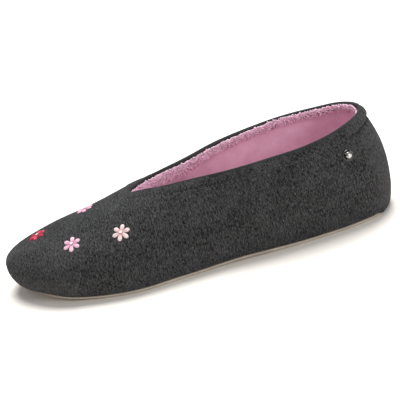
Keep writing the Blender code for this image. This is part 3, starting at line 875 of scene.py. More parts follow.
def spot_on_wall(side, turn, down):
    """Point of the smooth outer wall at a share of a rib's length from its top."""
    curve = rib_curves(side, np.array([turn]))[0]
    return along_curve(curve, np.array([down]) * travelled(curve)[-1])[0]


def crease_relief(crease, points):
    """Height that one crease adds at each point; it fades out towards its two ends."""
    shares = np.linspace(0, 1, CREASE_STEPS)
    turns = crease.turn + (crease.to_turn - crease.turn) * shares
    downs = crease.down + (crease.to_down - crease.down) * shares
    line = [spot_on_wall(crease.side, turn, down) for turn, down in zip(turns, downs)]
    gaps = np.linalg.norm(points[:, None] - np.array(line)[None], axis=-1)
    along = np.clip(shares[gaps.argmin(axis=1)], CREASE_END, 1 - CREASE_END)
    fade = np.sin(math.pi * along) ** CREASE_FULLNESS
    return crease.height * fade * np.exp(-((gaps.min(axis=1) / crease.width) ** 2))


wander = [noise.noise(Vector(point / WANDER_SIZE)) for point in wall.outside]
relief += WANDER_DEPTH * np.array(wander)
for crease in CREASES:
    relief += crease_relief(crease, wall.outside)
print(f"relief from {relief.min() / MM:.2f} to {relief.max() / MM:.2f} mm")

# %% Outside of the knit, with a lip over the sole's edge at the toe and the heel
EDGE_CALM = 2 * MM
FOOT_CALM = 6
LIP_FROM = 1.81
LIP_FULL = 1.94
HEEL_LIP_FROM = 0.09
HEEL_LIP_FULL = 0.05
LIP_OUT = 0.5 * MM
LIP_SHORT = 0.2 * MM
LIP_THICKNESS = 1.0 * MM
LIP_LEVELS = 6

# no relief on the edge itself, nor where the knit turns under on the sole
above_foot = np.ones(len(wall.outside))
above_foot[wall.index[:, -FOOT_CALM:]] = np.linspace(1, 0, FOOT_CALM)
relief *= np.clip(from_edge / EDGE_CALM, 0, 1) * above_foot
knit_outside = wall.outside + wall.normals * relief[:, None]

lip = ease((wall.turns - LIP_FROM) / (LIP_FULL - LIP_FROM))
lip = lip + ease((HEEL_LIP_FROM - wall.turns) / (HEEL_LIP_FROM - HEEL_LIP_FULL))
lip_drop = lip * (SOLE_THICKNESS + GAP - LIP_SHORT)
for level in range(LIP_LEVELS):
    share = (1 - level / LIP_LEVELS) ** 2
    ring = wall.index[:, -1 - level]
    knit_outside[ring, 2] -= lip_drop * share
    knit_outside[ring] -= wall.inward * (lip * LIP_OUT * share)[:, None]
print(f"the lip comes down {lip_drop.max() / MM:.1f} mm")

# %% [markdown]
# ## The charcoal knit
#
# The jersey is spun from dark and light fibres, so it is not one grey: fine streaks run up
# and down the wales, with a few pale specks, over slow cloudy patches. Up close each wale is
# a column of small V shaped loops. Streaks and loops are far too many to model, so both are
# patterns read from the place on the cloth: noise stretched along the wales for the fibres,
# and a folded wave for the loops. A soft sheen stands for the fuzz that catches the light
# where the cloth turns away.

# %% Finish of the knit
WALE = 1.15 * MM
COURSE = 0.85 * MM
LEG_SLANT = 1.5
COURSE_RELIEF = 0.35
FIBRE_RELIEF = 0.8
KNIT_RELIEF = 0.20 * MM
KNIT_DARK = (0.0060, 0.0060, 0.0063)
KNIT_LIGHT = (0.0950, 0.0955, 0.0985)
KNIT_FIBRE = (0.235, 0.235, 0.240)
KNIT_FUZZ = (0.90, 0.92, 0.95)
# painted reflection: the cool tone the knit takes near the collar's folded rim
RIM_REFLECTION_TINT = (0.0300, 0.0325, 0.0330)
FINE_STREAK = (0.56 * MM, 2.0 * MM)
LONG_STREAK = (1.1 * MM, 6.0 * MM)
LONG_SHARE = 0.35
CLOUD_SIZE = 16 * MM
CLOUD_DEPTH = 0.14
FIBRE_TONES = (0.385, 0.705)
SPECK = (0.55 * MM, 1.3 * MM)
SPECK_TONES = (0.62, 0.76, 0.0, 0.6)
RIM_REFLECTION_FADE = (0.4 * MM, 1.8 * MM, 0.45, 0.0)


def knit_loops(finish, cloth):
    """Height of a jersey's face: two slanted legs a wale, one pair each course."""
    split = finish.node("ShaderNodeSeparateXYZ", Vector=cloth)
    across = finish.math("FRACT", finish.math("DIVIDE", split.outputs[0], WALE))
    leg = finish.math("ABSOLUTE", finish.math("SUBTRACT", across, 0.5))
    down = finish.math("DIVIDE", split.outputs[1], COURSE)
    slanted = finish.math("ADD", down, finish.math("MULTIPLY", leg, LEG_SLANT))
    courses = finish.math("SINE", finish.math("MULTIPLY", slanted, 2 * math.pi))
    round_leg = finish.math("SINE", finish.math("MULTIPLY", leg, 2 * math.pi))
    return finish.math("MULTIPLY_ADD", courses, COURSE_RELIEF, round_leg)


def charcoal_knit():
    knit = Finish("charcoal_knit", roughness=0.95)
    cloth = knit.node("ShaderNodeUVMap", {"uv_map": "cloth"}).outputs["UV"]
    fine = knit.streaks(cloth, FINE_STREAK)
    long = knit.streaks(cloth, LONG_STREAK, detail=3.0)
    clouds = knit.math("SUBTRACT", knit.grain(CLOUD_SIZE, detail=1.0), 0.5)
    mixed = knit.math("MULTIPLY_ADD", clouds, CLOUD_DEPTH, knit.mixed(long, fine, LONG_SHARE))
    colour = knit.blend(knit.ramp(mixed, *FIBRE_TONES), KNIT_DARK, KNIT_LIGHT)
    specks = knit.ramp(knit.streaks(cloth, SPECK, detail=1.0), *SPECK_TONES)
    colour = knit.blend(specks, colour, KNIT_FIBRE)
    # near the folded rim the streaks give way to a smoother cool tone: the smoother fold is real,
    # the cool tint is a painted sky reflection
    rim_reflection = knit.ramp(knit.attribute("from_edge"), *RIM_REFLECTION_FADE)
    knit.colour(knit.blend(rim_reflection, colour, RIM_REFLECTION_TINT))
    loops = knit_loops(knit, cloth)
    knit.bump(knit.math("MULTIPLY_ADD", fine, FIBRE_RELIEF, loops), KNIT_RELIEF, strength=0.9)
    knit.shader.inputs["Specular IOR Level"].default_value = 0.10
    knit.sheen(0.09, 0.35, KNIT_FUZZ)
    return knit


knit = charcoal_knit()
print("finish:", knit.material.name, "with", len(knit.tree.nodes), "nodes")

# %% [markdown]
# ## The knit upper
#
# The upper is one hollow shell of jersey over foam, open at the collar and underneath. It
# could be a single surface with a Solidify modifier, but at the narrow throat that would
# cut through itself. Here the inner face is laid out with the same ribs, the two faces are
# joined by a half round rim at the collar, where the cloth is folded over, and by a flat
# seam underneath. Inside, the knit steps back a little to make room for the lining.

# %% Build the knit upper
LINING_THICKNESS = 0.45 * MM
LINING_ROOM = 1.1
FOLD_INSIDE = 4.0 * MM
FOLD_STEP = 1.0 * MM
SEAM_WIDTH = 0.2 * MM
RIM_ROUND = 0.30
RIM_STEPS = 8


def lay_cloth(piece, quads):
    """Stores where each corner lies on the cloth: the way round and the way down."""
    places = np.zeros((len(wall.outside), 2))
    places[wall.index] = np.stack([way_round, wall.lengths], -1)
    corners = places[np.asarray(quads)]
    sides = np.where(np.arange(wall.count) < wall.half, 1, -1)
    corners[..., 1] *= np.repeat(sides, wall.levels - 1)[:, None]
    values = np.zeros((len(piece.data.loops), 2), np.float32)
    values[: corners.size // 2] = corners.reshape(-1, 2)
    piece.data.uv_layers.new(name="cloth").data.foreach_set("uv", values.ravel())


def make_knit_upper():
    depth = WALL - LINING_THICKNESS * LINING_ROOM * ease((from_edge - FOLD_INSIDE) / FOLD_STEP)
    inside = wall.at_depth(depth[:, None])
    size = len(knit_outside)
    points = list(knit_outside) + list(inside)
    quads = wall.quads.tolist()
    inner = [[i + size for i in reversed(quad)] for quad in quads]
    # the seam underneath goes across the lip, up behind it and in to the inner face
    under = knit_outside[wall.foot] + wall.inward * LIP_THICKNESS
    behind = under + wall.inward * SEAM_WIDTH
    behind[:, 2] = sole_top(behind[:, 1]) + GAP
    seam = [wall.foot.tolist(), add_ring(points, under), add_ring(points, behind)]
    seam.append([i + size for i in seam[0]])
    outer_edge = knit_outside[edge]
    inner_edge = inside[edge]
    rings = [(edge + size).tolist()]
    for angle in np.linspace(math.pi, 0, RIM_STEPS + 1)[1:-1]:
        rim = (outer_edge + inner_edge) / 2 + (outer_edge - inner_edge) / 2 * math.cos(angle)
        rings.append(add_ring(points, rim - edge_down * WALL * RIM_ROUND * math.sin(angle)))
    faces = quads + inner + ring_faces(seam) + ring_faces(rings + [edge.tolist()])
    piece, used = make_piece("knit_upper", points, faces, knit, "charcoal_knit", ["upper"])
    spare = np.zeros(len(points) - 2 * size)
    give_values(piece, used, "from_edge", np.concatenate([from_edge, from_edge, spare]))
    lay_cloth(piece, quads)


make_knit_upper()

# %% [markdown]
# ## Lining
#
# Inside, the slipper is lined with a smooth pink brushed cloth, glued to the foam. It is a
# sheet of its own, under half a millimetre thick, that starts below the knit's folded edge.
# Brushed cloth has no visible weave, only a very fine nap and a soft sheen.

# %% Finish and build of the lining
LINING_PINK = (0.880, 0.605, 0.730)
LINING_DEEP = (0.780, 0.490, 0.610)
PINK_FUZZ = (1.0, 0.85, 0.92)
NAP_SIZE = 0.7 * MM
NAP_SHARE = 0.35
NAP_RELIEF = 0.12 * MM
PATCH_SIZE = 9 * MM
NAP_TONES = (0.38, 0.62)


def brushed_cloth(name, light, deep):
    cloth = Finish(name, roughness=0.9)
    nap = cloth.grain(NAP_SIZE, detail=3.0)
    mixed = cloth.mixed(nap, cloth.grain(PATCH_SIZE), NAP_SHARE)
    cloth.colour(cloth.blend(cloth.ramp(mixed, *NAP_TONES), deep, light))
    cloth.bump(nap, NAP_RELIEF, strength=0.5)
    cloth.sheen(0.35, 0.4, PINK_FUZZ)
    return cloth


def make_lining():
    """A sheet from below the folded edge, or from the ridge inside the vamp, to the sole."""
    start = int(np.ceil(FOLD_INSIDE / (HEM_WIDTH * HEM_REACH / HEM_LEVELS))) + 1
    rib, level = np.divmod(np.arange(len(wall.quads)), wall.levels - 1)
    next_turn = np.roll(wall.turns, -1)
    on_vamp = np.minimum(wall.turns, next_turn)[rib] >= 1
    quads = wall.quads[on_vamp | (level >= start)].tolist()
    points = list(wall.at_depth(WALL - LINING_THICKNESS))
    size = len(points)
    points += list(wall.at_depth(WALL))
    faces = quads + [[i + size for i in reversed(quad)] for quad in quads]
    faces += [(b, a, a + size, b + size) for a, b in open_edges(quads)]
    finish = brushed_cloth("pink_lining", LINING_PINK, LINING_DEEP)
    make_piece("lining", points, faces, finish, "pink_lining")


make_lining()

# %% [markdown]
# ## Terry band
#
# A strip of plush terry runs round the inside of the collar, where it touches the ankle.
# Terry is thousands of little loops of yarn. Particle hair could grow them, but a mesh of
# small bent tufts is easier to control and to export. Each tuft is a short blunt tube that
# stands on the strip and leans its own way. The yarn's colour holds painted shade: it is
# painted deeper where it comes out of the cloth and paler at its tips, for the shade between
# the tufts, which makes the pile look thick. Tufts low on the strip are also painted deeper
# than those at its upper edge, as painted shade where less light reaches them.

# %% Finish of the terry
# painted shade: the root colour is the shade between the tufts, and the tint shift paints tufts low
# on the strip darker
TERRY_TIP = (1.000, 0.670, 0.820)
TERRY_SHADED_ROOT = (0.760, 0.320, 0.490)
TONE_AND_SHADE_SHIFT = (-0.90, 0.50)
TIP_FROM = 0.75
LOOP_SIZE = 0.35 * MM
LOOP_RELIEF = 0.1 * MM


def plush_terry():
    """Painted shade: deep at a tuft's root, pale at its tip; the tuft's own tint shifts the change.
    """
    terry = Finish("pink_terry", roughness=1.0)
    tint = terry.ramp(terry.attribute("tint"), 0.0, 1.0, *TONE_AND_SHADE_SHIFT)
    height = terry.math("ADD", terry.attribute("height"), tint)
    terry.colour(terry.blend(terry.ramp(height, 0.0, TIP_FROM), TERRY_SHADED_ROOT, TERRY_TIP))
    terry.bump(terry.grain(LOOP_SIZE), LOOP_RELIEF, strength=0.6)
    terry.sheen(1.0, 0.5, PINK_FUZZ)
    return terry


terry_finish = plush_terry()
print("finish:", terry_finish.material.name)

# %% Place of the strip round the collar
Band = namedtuple("Band", "turn start width thick hang")
BAND = [
    Band(0.00, 0.10, 0.60, 1.00, 0.00),
    Band(0.30, 0.15, 0.62, 1.00, 0.00),
    Band(0.45, 0.25, 0.66, 1.00, 0.10),
    Band(0.60, 0.50, 0.78, 1.00, 0.35),
    Band(0.75, 0.60, 0.95, 1.00, 0.70),
    Band(0.90, 0.50, 1.00, 0.90, 0.95),
    Band(1.00, 0.40, 0.80, 0.60, 1.00),
]
BAND_START = 1.5 * MM
BAND_WIDTH = 9.0 * MM
PILE_HANG = 0.22
NEAR_SIDE_LOWER = 3.0 * MM
PRESSED_FROM = -0.01
PRESSED_RISE = 0.04
PRESSED_TO = 0.75
PRESSED_FALL = 0.2

collar_turns = wall.turns[collar_ribs]
starts, widths, thicks, hangs = (
    read(BAND, name, collar_turns)[:, None] for name in ("start", "width", "thick", "hang")
)
# on the outer side the strip starts lower and its pile is pressed down, so that none of it
# shows over the near edge
pressed = np.minimum(
    (collar_turns - PRESSED_FROM) / PRESSED_RISE, (PRESSED_TO - collar_turns) / PRESSED_FALL
)
pressed = np.clip(pressed, 0, 1) * (collar_ribs < wall.half)
# the lowest tufts hang below the strip, so it ends a little above the band's lower edge
widths = widths * (1 - PILE_HANG * (1 - hangs))
lowered = starts * BAND_START + pressed[:, None] * NEAR_SIDE_LOWER
strip_start = edge_points - wall.normals[edge] * (WALL + GAP) + edge_down * lowered
strip_along = np.roll(strip_start, -1, axis=0) - np.roll(strip_start, 1, axis=0)
strip_inward = unit(np.stack([strip_along[:, 1], -strip_along[:, 0], 0 * strip_along[:, 0]], -1))
print(f"strip {widths.min() * BAND_WIDTH / MM:.1f} to {widths.max() * BAND_WIDTH / MM:.1f} mm wide")

# %% Strip of the terry
STRIP_THICKNESS = 0.8 * MM
STRIP_ROWS = 12
STRIP_SKIPPED = 2


def strip_rings(depth):
    """The strip's rings at this depth: along the wall on the sides, and hanging straight down
    at the throat."""
    tree = wall.tree(WALL + GAP + depth)
    rings = []
    for share in np.linspace(0, 1, STRIP_ROWS + 1):
        reach = share * widths * BAND_WIDTH
        spots = strip_start + edge_down * reach
        on_wall = np.array([tree.find_nearest(Vector(spot))[0][:] for spot in spots])
        hanging = strip_start + strip_inward * thicks * depth - [0, 0, 1] * reach
        rings.append(on_wall * (1 - hangs) + hanging * hangs)
    return np.array(rings)


def make_strip():
    """The strip's points and faces, and its front as a closed grid to plant the tufts on."""
    front = strip_rings(STRIP_THICKNESS)
    back = strip_rings(0.0)
    points = []
    sheets = list(front[STRIP_SKIPPED:]) + list(back[: STRIP_SKIPPED - 1 : -1])
    rings = [add_ring(points, ring) for ring in sheets]
    faces = [tuple(reversed(face)) for face in ring_faces(rings, closed=True)]
    return points, faces, np.concatenate([front, front[:, :1]], axis=1)


strip_points, strip_faces, strip_grid = make_strip()
print(f"strip: {len(strip_faces)} quads")

# %% Spots and shapes of the tufts
TUFT_SPACING = 0.80 * MM
TUFT_LENGTH = 1.85 * MM
TUFT_RADIUS = 0.45 * MM
TUFT_SUNK = 0.2 * MM
TUFT_SIDES = 4
TUFT_BENDS = [(0.0, 0.9), (0.35, 1.0), (0.72, 1.1), (0.96, 0.65)]
PILE_OVER_EDGE = 0.5 * MM
SCATTER_ALONG = 0.3
SCATTER_DOWN = 0.35
RISE_AT_EDGE = 0.75
RISE_DROP = 1.25
CLUMP = 2.2 * MM
CLUMP_LEAN = 0.9
CLUMP_SWELL = 0.45
SWELL_SHIFT = Vector((7, 3, 5))
OWN_LEAN = 0.22
OWN_LENGTH = (0.8, 1.1)
EDGE_LENGTH = 0.75
PRESSED_SHORTER = 0.35
OWN_TINT = 0.25

# both sources of chance are seeded, so that every run gives the same pile
draw = np.random.default_rng(7)
noise.seed_set(7)


def tuft_spots():
    """Spots in scattered rows: a place among the collar's ribs and a share of the width."""
    width_round = np.append(widths, widths[0]) * BAND_WIDTH
    along = int(COLLAR_LENGTH / TUFT_SPACING)
    for row in range(int((width_round.max() + PILE_OVER_EDGE) / TUFT_SPACING) + 1):
        scatter = draw.uniform(-SCATTER_ALONG, SCATTER_ALONG, along)
        way = (np.arange(along) + 0.5 * (row % 2) + scatter) * TUFT_SPACING % COLLAR_LENGTH
        scatter = draw.uniform(-SCATTER_DOWN, SCATTER_DOWN, along)
        down = (row + scatter) * TUFT_SPACING - PILE_OVER_EDGE
        share = down / np.interp(way, edge_way, width_round)
        place = np.interp(way, edge_way, np.arange(len(edge_way)))
        yield from zip(place[share <= 1], share[share <= 1])


def plant_tuft(spot, part):
    """Root, rise, lean, length and tint of the tuft on one spot."""
    i = min(int(spot), len(edge) - 1)
    j = min(max(int(part * STRIP_ROWS), 0), STRIP_ROWS - 1)
    u = spot - i
    v = part * STRIP_ROWS - j
    above = strip_grid[j, i] * (1 - u) + strip_grid[j, i + 1] * u
    below = strip_grid[j + 1, i] * (1 - u) + strip_grid[j + 1, i + 1] * u
    root = above * (1 - v) + below * v
    facing = unit(np.cross(below - above, strip_grid[j, i + 1] - strip_grid[j, i]))
    facing = facing * np.sign(facing @ strip_inward[i])
    # the pile rounds over the strip's edges, and leans in clumps
    rise = unit(facing + np.array([0, 0, RISE_AT_EDGE - RISE_DROP * part]))
    clump = np.array(noise.noise_vector(Vector(root / CLUMP)))
    lean = CLUMP_LEAN * clump + draw.normal(0, OWN_LEAN, 3)
    lean = lean - rise * (lean @ rise)
    swell = 1 + CLUMP_SWELL * noise.noise(Vector(root / CLUMP) + SWELL_SHIFT)
    length = TUFT_LENGTH * swell * draw.uniform(*OWN_LENGTH) * min(1.0, EDGE_LENGTH + part)
    length *= 1 - PRESSED_SHORTER * pressed[i]
    # painted shade: the tint is part random tone and part painted shade, darker lower on the strip
    tint = OWN_TINT * draw.uniform() + (1 - OWN_TINT) * (1 - min(max(part, 0), 1))
    return root - rise * TUFT_SUNK, rise, lean, length, tint


tufts = [plant_tuft(spot, part) for spot, part in tuft_spots()]
print(f"{len(tufts)} tufts")

# %% Build the terry
def tuft_tubes():
    """Bent, blunt tubes, one for each tuft: points, faces, and each point's height and tint."""
    points = []
    faces = []
    heights = []
    tones_and_shades = []
    for root, rise, lean, length, tint in tufts:
        first = unit(np.cross(rise, lean))
        around = circle(first, np.cross(rise, first), TUFT_SIDES) * TUFT_RADIUS
        rings = []
        for share, width in TUFT_BENDS:
            middle = root + rise * length * share + lean * length * share ** 2
            rings.append(add_ring(points, middle + around * width))
            heights += [share] * TUFT_SIDES
            tones_and_shades += [tint] * TUFT_SIDES
        faces += ring_faces(rings[::-1])
        faces.append(tuple(rings[0]))
        faces.append(tuple(reversed(rings[-1])))
    return points, faces, heights, tones_and_shades


def make_terry():
    pile_points, pile_faces, heights, tones_and_shades = tuft_tubes()
    points, faces = join_parts([(strip_points, strip_faces), (pile_points, pile_faces)])
    nodes = ["terry_band"]
    piece, used = make_piece("terry", points, faces, terry_finish, "pink_terry", nodes, sharp=180)
    give_values(piece, used, "height", [0.0] * len(strip_points) + heights)
    give_values(piece, used, "tint", [0.5] * len(strip_points) + tones_and_shades)


make_terry()

# %% [markdown]
# ## Insole
#
# The insole is a thin foam pad covered with the lining's cloth. It fills the foot of the
# upper from side to side, has a soft shoulder and is a little crowned. A cloth simulation
# could puff it up, but a pad only four millimetres thick that is glued flat barely swells,
# so its crown is a smooth formula and its heel seat a shallow hollow.

# %% Shape of the insole
INSOLE_PINK = (0.690, 0.410, 0.505)
INSOLE_DEEP = (0.600, 0.320, 0.415)
INSOLE_THICKNESS = 4.0 * MM
INSOLE_CROWN = 0.8 * MM
CROWN_FULLNESS = 0.6
SEAT_Y = 78 * MM
SEAT_SIZE = 22 * MM
SEAT_DEPTH = 0.9 * MM
RIPPLE_SIZE = 9 * MM
RIPPLE_DEPTH = 0.10 * MM
CROSS_STEPS = 24
# rows up an edge: how many millimetres it is drawn in, and the share of the thickness
EdgeRow = namedtuple("EdgeRow", "drawn height")
SHOULDER = [
    EdgeRow(0.00, 0.00),
    EdgeRow(0.00, 0.30),
    EdgeRow(0.00, 0.60),
    EdgeRow(0.12, 0.80),
    EdgeRow(0.45, 0.95),
    EdgeRow(1.00, 1.00),
]


def pad_rise(point, share):
    """How far the pad's top stands over its shoulder, at a share of its width."""
    from_seat = math.hypot(point[0], point[1] - SEAT_Y)
    hollow = SEAT_DEPTH * math.exp(-(from_seat / SEAT_SIZE) ** 2)
    ripple = RIPPLE_DEPTH * noise.noise(Vector(point) / RIPPLE_SIZE)
    return (INSOLE_CROWN - hollow + ripple) * math.sin(math.pi * share) ** CROWN_FULLNESS


def pad_face(points, ring, crowned):
    """Faces across the pad from side to side; the upper one is crowned."""
    rows = []
    for k in range(wall.half + 1):
        left = ring[k]
        right = ring[(wall.count - k) % wall.count]
        row = [left]
        for j in range(1, CROSS_STEPS):
            share = j / CROSS_STEPS
            point = points[left] * (1 - share) + points[right] * share
            if crowned:
                point = point + np.array([0, 0, pad_rise(point, share)])
            if left != right:
                row.append(len(points))
                points.append(point)
            else:
                row.append(left)
        rows.append(row + [right])
    faces = []
    for near, far in zip(rows, rows[1:]):
        for j in range(CROSS_STEPS):
            corners = list(dict.fromkeys([near[j], near[j + 1], far[j + 1], far[j]]))
            faces.append(tuple(corners if crowned else reversed(corners)))
    return faces


print(f"heel seat {SEAT_DEPTH / MM:.1f} mm deep, crown {INSOLE_CROWN / MM:.1f} mm high")

# %% Build the insole
def make_insole():
    inside = wall.at_depth(WALL + GAP)
    columns = inside[wall.index[:, ::-1]]
    above = columns[..., 2] - sole_top(columns[..., 1]) - GAP
    points = []
    rings = []
    for row in SHOULDER:
        ring = np.empty((wall.count, 3))
        for k in range(wall.count):
            at = np.clip(row.height * INSOLE_THICKNESS, above[k, 0], None)
            ring[k, 0] = np.interp(at, above[k], columns[k, :, 0])
            ring[k, 1] = np.interp(at, above[k], columns[k, :, 1])
        ring += wall.inward * row.drawn * MM
        ring[:, 2] = sole_top(ring[:, 1]) + GAP + row.height * INSOLE_THICKNESS
        rings.append(add_ring(points, ring))
    faces = [tuple(reversed(face)) for face in ring_faces(rings)]
    faces += pad_face(points, rings[0], crowned=False)
    faces += pad_face(points, rings[-1], crowned=True)
    finish = brushed_cloth("insole_cloth", INSOLE_PINK, INSOLE_DEEP)
    return make_piece("insole_pad", points, faces, finish, "pink_lining", ["insole"])[0]


insole_pad = make_insole()

# %% [markdown]
# ## Suede sole
#
# The sole is one piece of soft suede split, two millimetres thick, cut to the foot's
# outline. From the side it shows only as a thin pale line, so its edge matters most: it is
# rounded in below, where the suede is rolled under, and a little fuzzy. Suede has a short nap
# that lies in patches, which a slow and a fast noise give together.

# %% Finish of the suede
SUEDE_LIGHT = (0.580, 0.505, 0.430)
SUEDE_DARK = (0.420, 0.355, 0.290)
SUEDE_FUZZ = (1.0, 0.95, 0.88)
SUEDE_NAP = 0.5 * MM
SUEDE_PATCH = 7 * MM
SUEDE_RELIEF = 0.15 * MM


def beige_suede():
    hide = Finish("beige_suede", roughness=0.92)
    nap = hide.grain(SUEDE_NAP, detail=3.0)
    mixed = hide.mixed(nap, hide.grain(SUEDE_PATCH), 0.5)
    hide.colour(hide.blend(hide.ramp(mixed, *NAP_TONES), SUEDE_DARK, SUEDE_LIGHT))
    hide.bump(nap, SUEDE_RELIEF, strength=0.6)
    hide.sheen(0.3, 0.4, SUEDE_FUZZ)
    return hide


suede = beige_suede()
print("finish:", suede.material.name)

# %% Build the sole
SOLE_MARGIN = 0.8 * MM
SOLE_EDGE = [
    EdgeRow(2.30, 0.00),
    EdgeRow(1.70, 0.07),
    EdgeRow(1.00, 0.22),
    EdgeRow(0.40, 0.44),
    EdgeRow(0.00, 0.70),
    EdgeRow(0.03, 0.85),
    EdgeRow(0.25, 0.97),
    EdgeRow(0.60, 1.00),
]


def make_sole():
    # under the knit's lip the edge stands back, behind the lip's thickness and a small gap
    behind_lip = LIP_THICKNESS - LIP_OUT + 2 * GAP
    margin = SOLE_MARGIN * (1 - lip) - behind_lip * lip
    outline = wall.outside[wall.foot] - wall.inward * margin[:, None]
    points = []
    rings = []
    for row in SOLE_EDGE:
        ring = outline + wall.inward * row.drawn * MM
        ring[:, 2] = sole_bottom(ring[:, 1]) + SOLE_THICKNESS * row.height
        rings.append(add_ring(points, ring))
    faces = ring_faces(rings)
    for ring, upward in ((rings[0], False), (rings[-1], True)):
        for k in range(wall.half):
            quad = [ring[k], ring[k + 1]]
            quad += [ring[(wall.count - k - 1) % wall.count], ring[(wall.count - k) % wall.count]]
            corners = list(dict.fromkeys(quad))
            faces.append(tuple(corners if upward else reversed(corners)))
    make_piece("suede_sole", points, faces, suede, "beige_suede", ["outsole"], sharp=80)


make_sole()

# %% [markdown]
# ## Hem stitches
#
# The folded edge is held by a row of short grey stitches, seven millimetres below the edge.
# The row is found on the wall itself: on each rib, the place where the distance from the
# collar's edge passes the hem's width. That line runs round the heel and closes in front of
# the throat. Each stitch is a small thread that dips into the cloth at both ends.

# %% Helpers for threads
PLY_SIZE = 0.3 * MM
PLY_SHARE = 0.5
PLY_TONES = (0.25, 1.05)
PLY_RELIEF = 0.06 * MM


def thread_finish(name, colour, deep, roughness=0.45, sheen=0.25):
    """Yarn: fine twisted plies along each thread, with painted shade that darkens it towards its
    root.
    """
    thread = Finish(name, roughness=roughness)
    plies = thread.grain(PLY_SIZE)
    shade = thread.math("MULTIPLY_ADD", plies, PLY_SHARE, thread.attribute("height"))
    thread.colour(thread.blend(thread.ramp(shade, *PLY_TONES), deep, colour))
    thread.bump(plies, PLY_RELIEF, strength=0.5)
    thread.sheen(sheen, 0.4)
    return thread


def tube(path, radii, sides):
    """A closed tube round a path of points, with a radius at each: points and faces."""
    path = np.asarray(path)
    along = unit(np.gradient(path, axis=0))
    upright = abs(along[0, 2]) >= 0.9
    helper = np.array([1.0, 0.0, 0.0]) if upright else np.array([0.0, 0.0, 1.0])
    points = []
    rings = []
    for middle, direction, radius in zip(path, along, radii):
        first = unit(np.cross(direction, helper))
        second = np.cross(direction, first)
        rings.append(add_ring(points, middle + circle(first, second, sides) * radius))
    faces = ring_faces(rings)
    faces.append(tuple(rings[0]))
    faces.append(tuple(reversed(rings[-1])))
    return points, faces


print("a tube of two rings has", len(tube([(0, 0, 0), (0, 0, 1)], [1, 1], sides=6)[1]), "faces")

# %% Stitch the hem
STITCH_PITCH = 3.3 * MM
STITCH_LENGTH = 1.6 * MM
STITCH_ARCH = 0.30 * MM
STITCH_SUNK = 0.12 * MM
STITCH_POINTS = 6
THREAD_RADIUS = 0.17 * MM
THREAD_SIDES = 6
STITCH_GREY = (0.090, 0.091, 0.091)
# painted shade: the deep grey darkens each stitch towards its ends, where it goes into the cloth
STITCH_SHADED_END = (0.030, 0.031, 0.034)

outer_tree = BVHTree.FromPolygons(knit_outside.tolist(), wall.quads.tolist())


def hem_line():
    """Points of the wall at the hem's width from the collar's edge, once round."""
    line = []
    for k in range(wall.count):
        distances = from_edge[wall.index[k]]
        # ribs of the vamp's front start further from the collar than that, and are left out
        if distances[0] < HEM_WIDTH:
            level = int(np.argmax(distances >= HEM_WIDTH))
            share = (HEM_WIDTH - distances[level - 1]) / (distances[level] - distances[level - 1])
            ends = wall.outside[wall.index[k, level - 1 : level + 1]]
            line.append(ends[0] * (1 - share) + ends[1] * share)
    return np.array(line + line[:1])


def make_hem_stitches():
    line = hem_line()
    reached = travelled(line)
    arc = np.sin(math.pi * np.linspace(0, 1, STITCH_POINTS))
    parts = []
    for start in np.arange(0, reached[-1], STITCH_PITCH):
        path = along_curve(line, np.linspace(start, start + STITCH_LENGTH, STITCH_POINTS))
        spots = []
        for point, rise in zip(path, arc):
            spot, normal, _, _ = outer_tree.find_nearest(Vector(point))
            spots.append(np.array(spot) + np.array(normal) * (STITCH_ARCH * rise - STITCH_SUNK))
        parts.append(tube(spots, [THREAD_RADIUS] * STITCH_POINTS, THREAD_SIDES))
    points, faces = join_parts(parts)
    finish = thread_finish("grey_thread", STITCH_GREY, STITCH_SHADED_END, roughness=0.7)
    piece, used = make_piece("hem_stitches", points, faces, finish, "charcoal_knit", sharp=180)
    # painted shade: each stitch is painted darker towards both ends, where it dips into the cloth
    give_values(piece, used, "height", list(np.repeat(arc, THREAD_SIDES)) * len(parts))
    print(f"{len(parts)} stitches along {reached[-1] / MM:.0f} mm")


make_hem_stitches()

# %% [markdown]
# ## Stitched flowers
#
# Four little flowers are embroidered on the vamp, in pink, pale pink and red. Each has six
# petals worked in satin stitch: threads laid side by side along the petal, over a padded
# middle, so the petal is a small ridged cushion that shines along its threads. A pale knot
# covers the middle. The petals are laid on the knit's own surface, point by point, so they
# follow its curve. The thread is painted darker towards a petal's root, as painted shade
# where the petals crowd together, which draws a small star round the knot.

# %% Places of the trim
Place = namedtuple("Place", "name turn side down spin")
FLOWER_PLACES = [
    Place("flower_side_front", 1.515, 1, 0.370, 21.0),
    Place("flower_side_back", 1.135, 1, 0.440, 3.0),
    Place("flower_ridge_back", 1.370, -1, 0.195, 20.0),
    Place("flower_ridge_front", 1.810, -1, 0.110, 10.0),
]
STUD_PLACE = Place("heel_stud", 0.160, 1, 0.260, 0.0)
PLACE_STEP = 0.01


def trim_frame(place):
    """Point on the wall, first axis, second axis and normal of a piece of trim."""
    turns = [place.turn - PLACE_STEP, place.turn, place.turn + PLACE_STEP]
    spots = [spot_on_wall(place.side, turn, place.down) for turn in turns]
    below = spot_on_wall(place.side, place.turn, place.down + PLACE_STEP)
    forward = unit(spots[2] - spots[0])
    normal = unit(np.cross(forward, below - spots[1])) * place.side
    first = swing(forward, np.cross(normal, forward), math.radians(place.spin))
    return spots[1], first, np.cross(normal, first), normal


for place in FLOWER_PLACES:
    spot, _, _, normal = trim_frame(place)
    print(place.name, "at", np.round(spot / MM, 1), "facing", np.round(normal, 2))

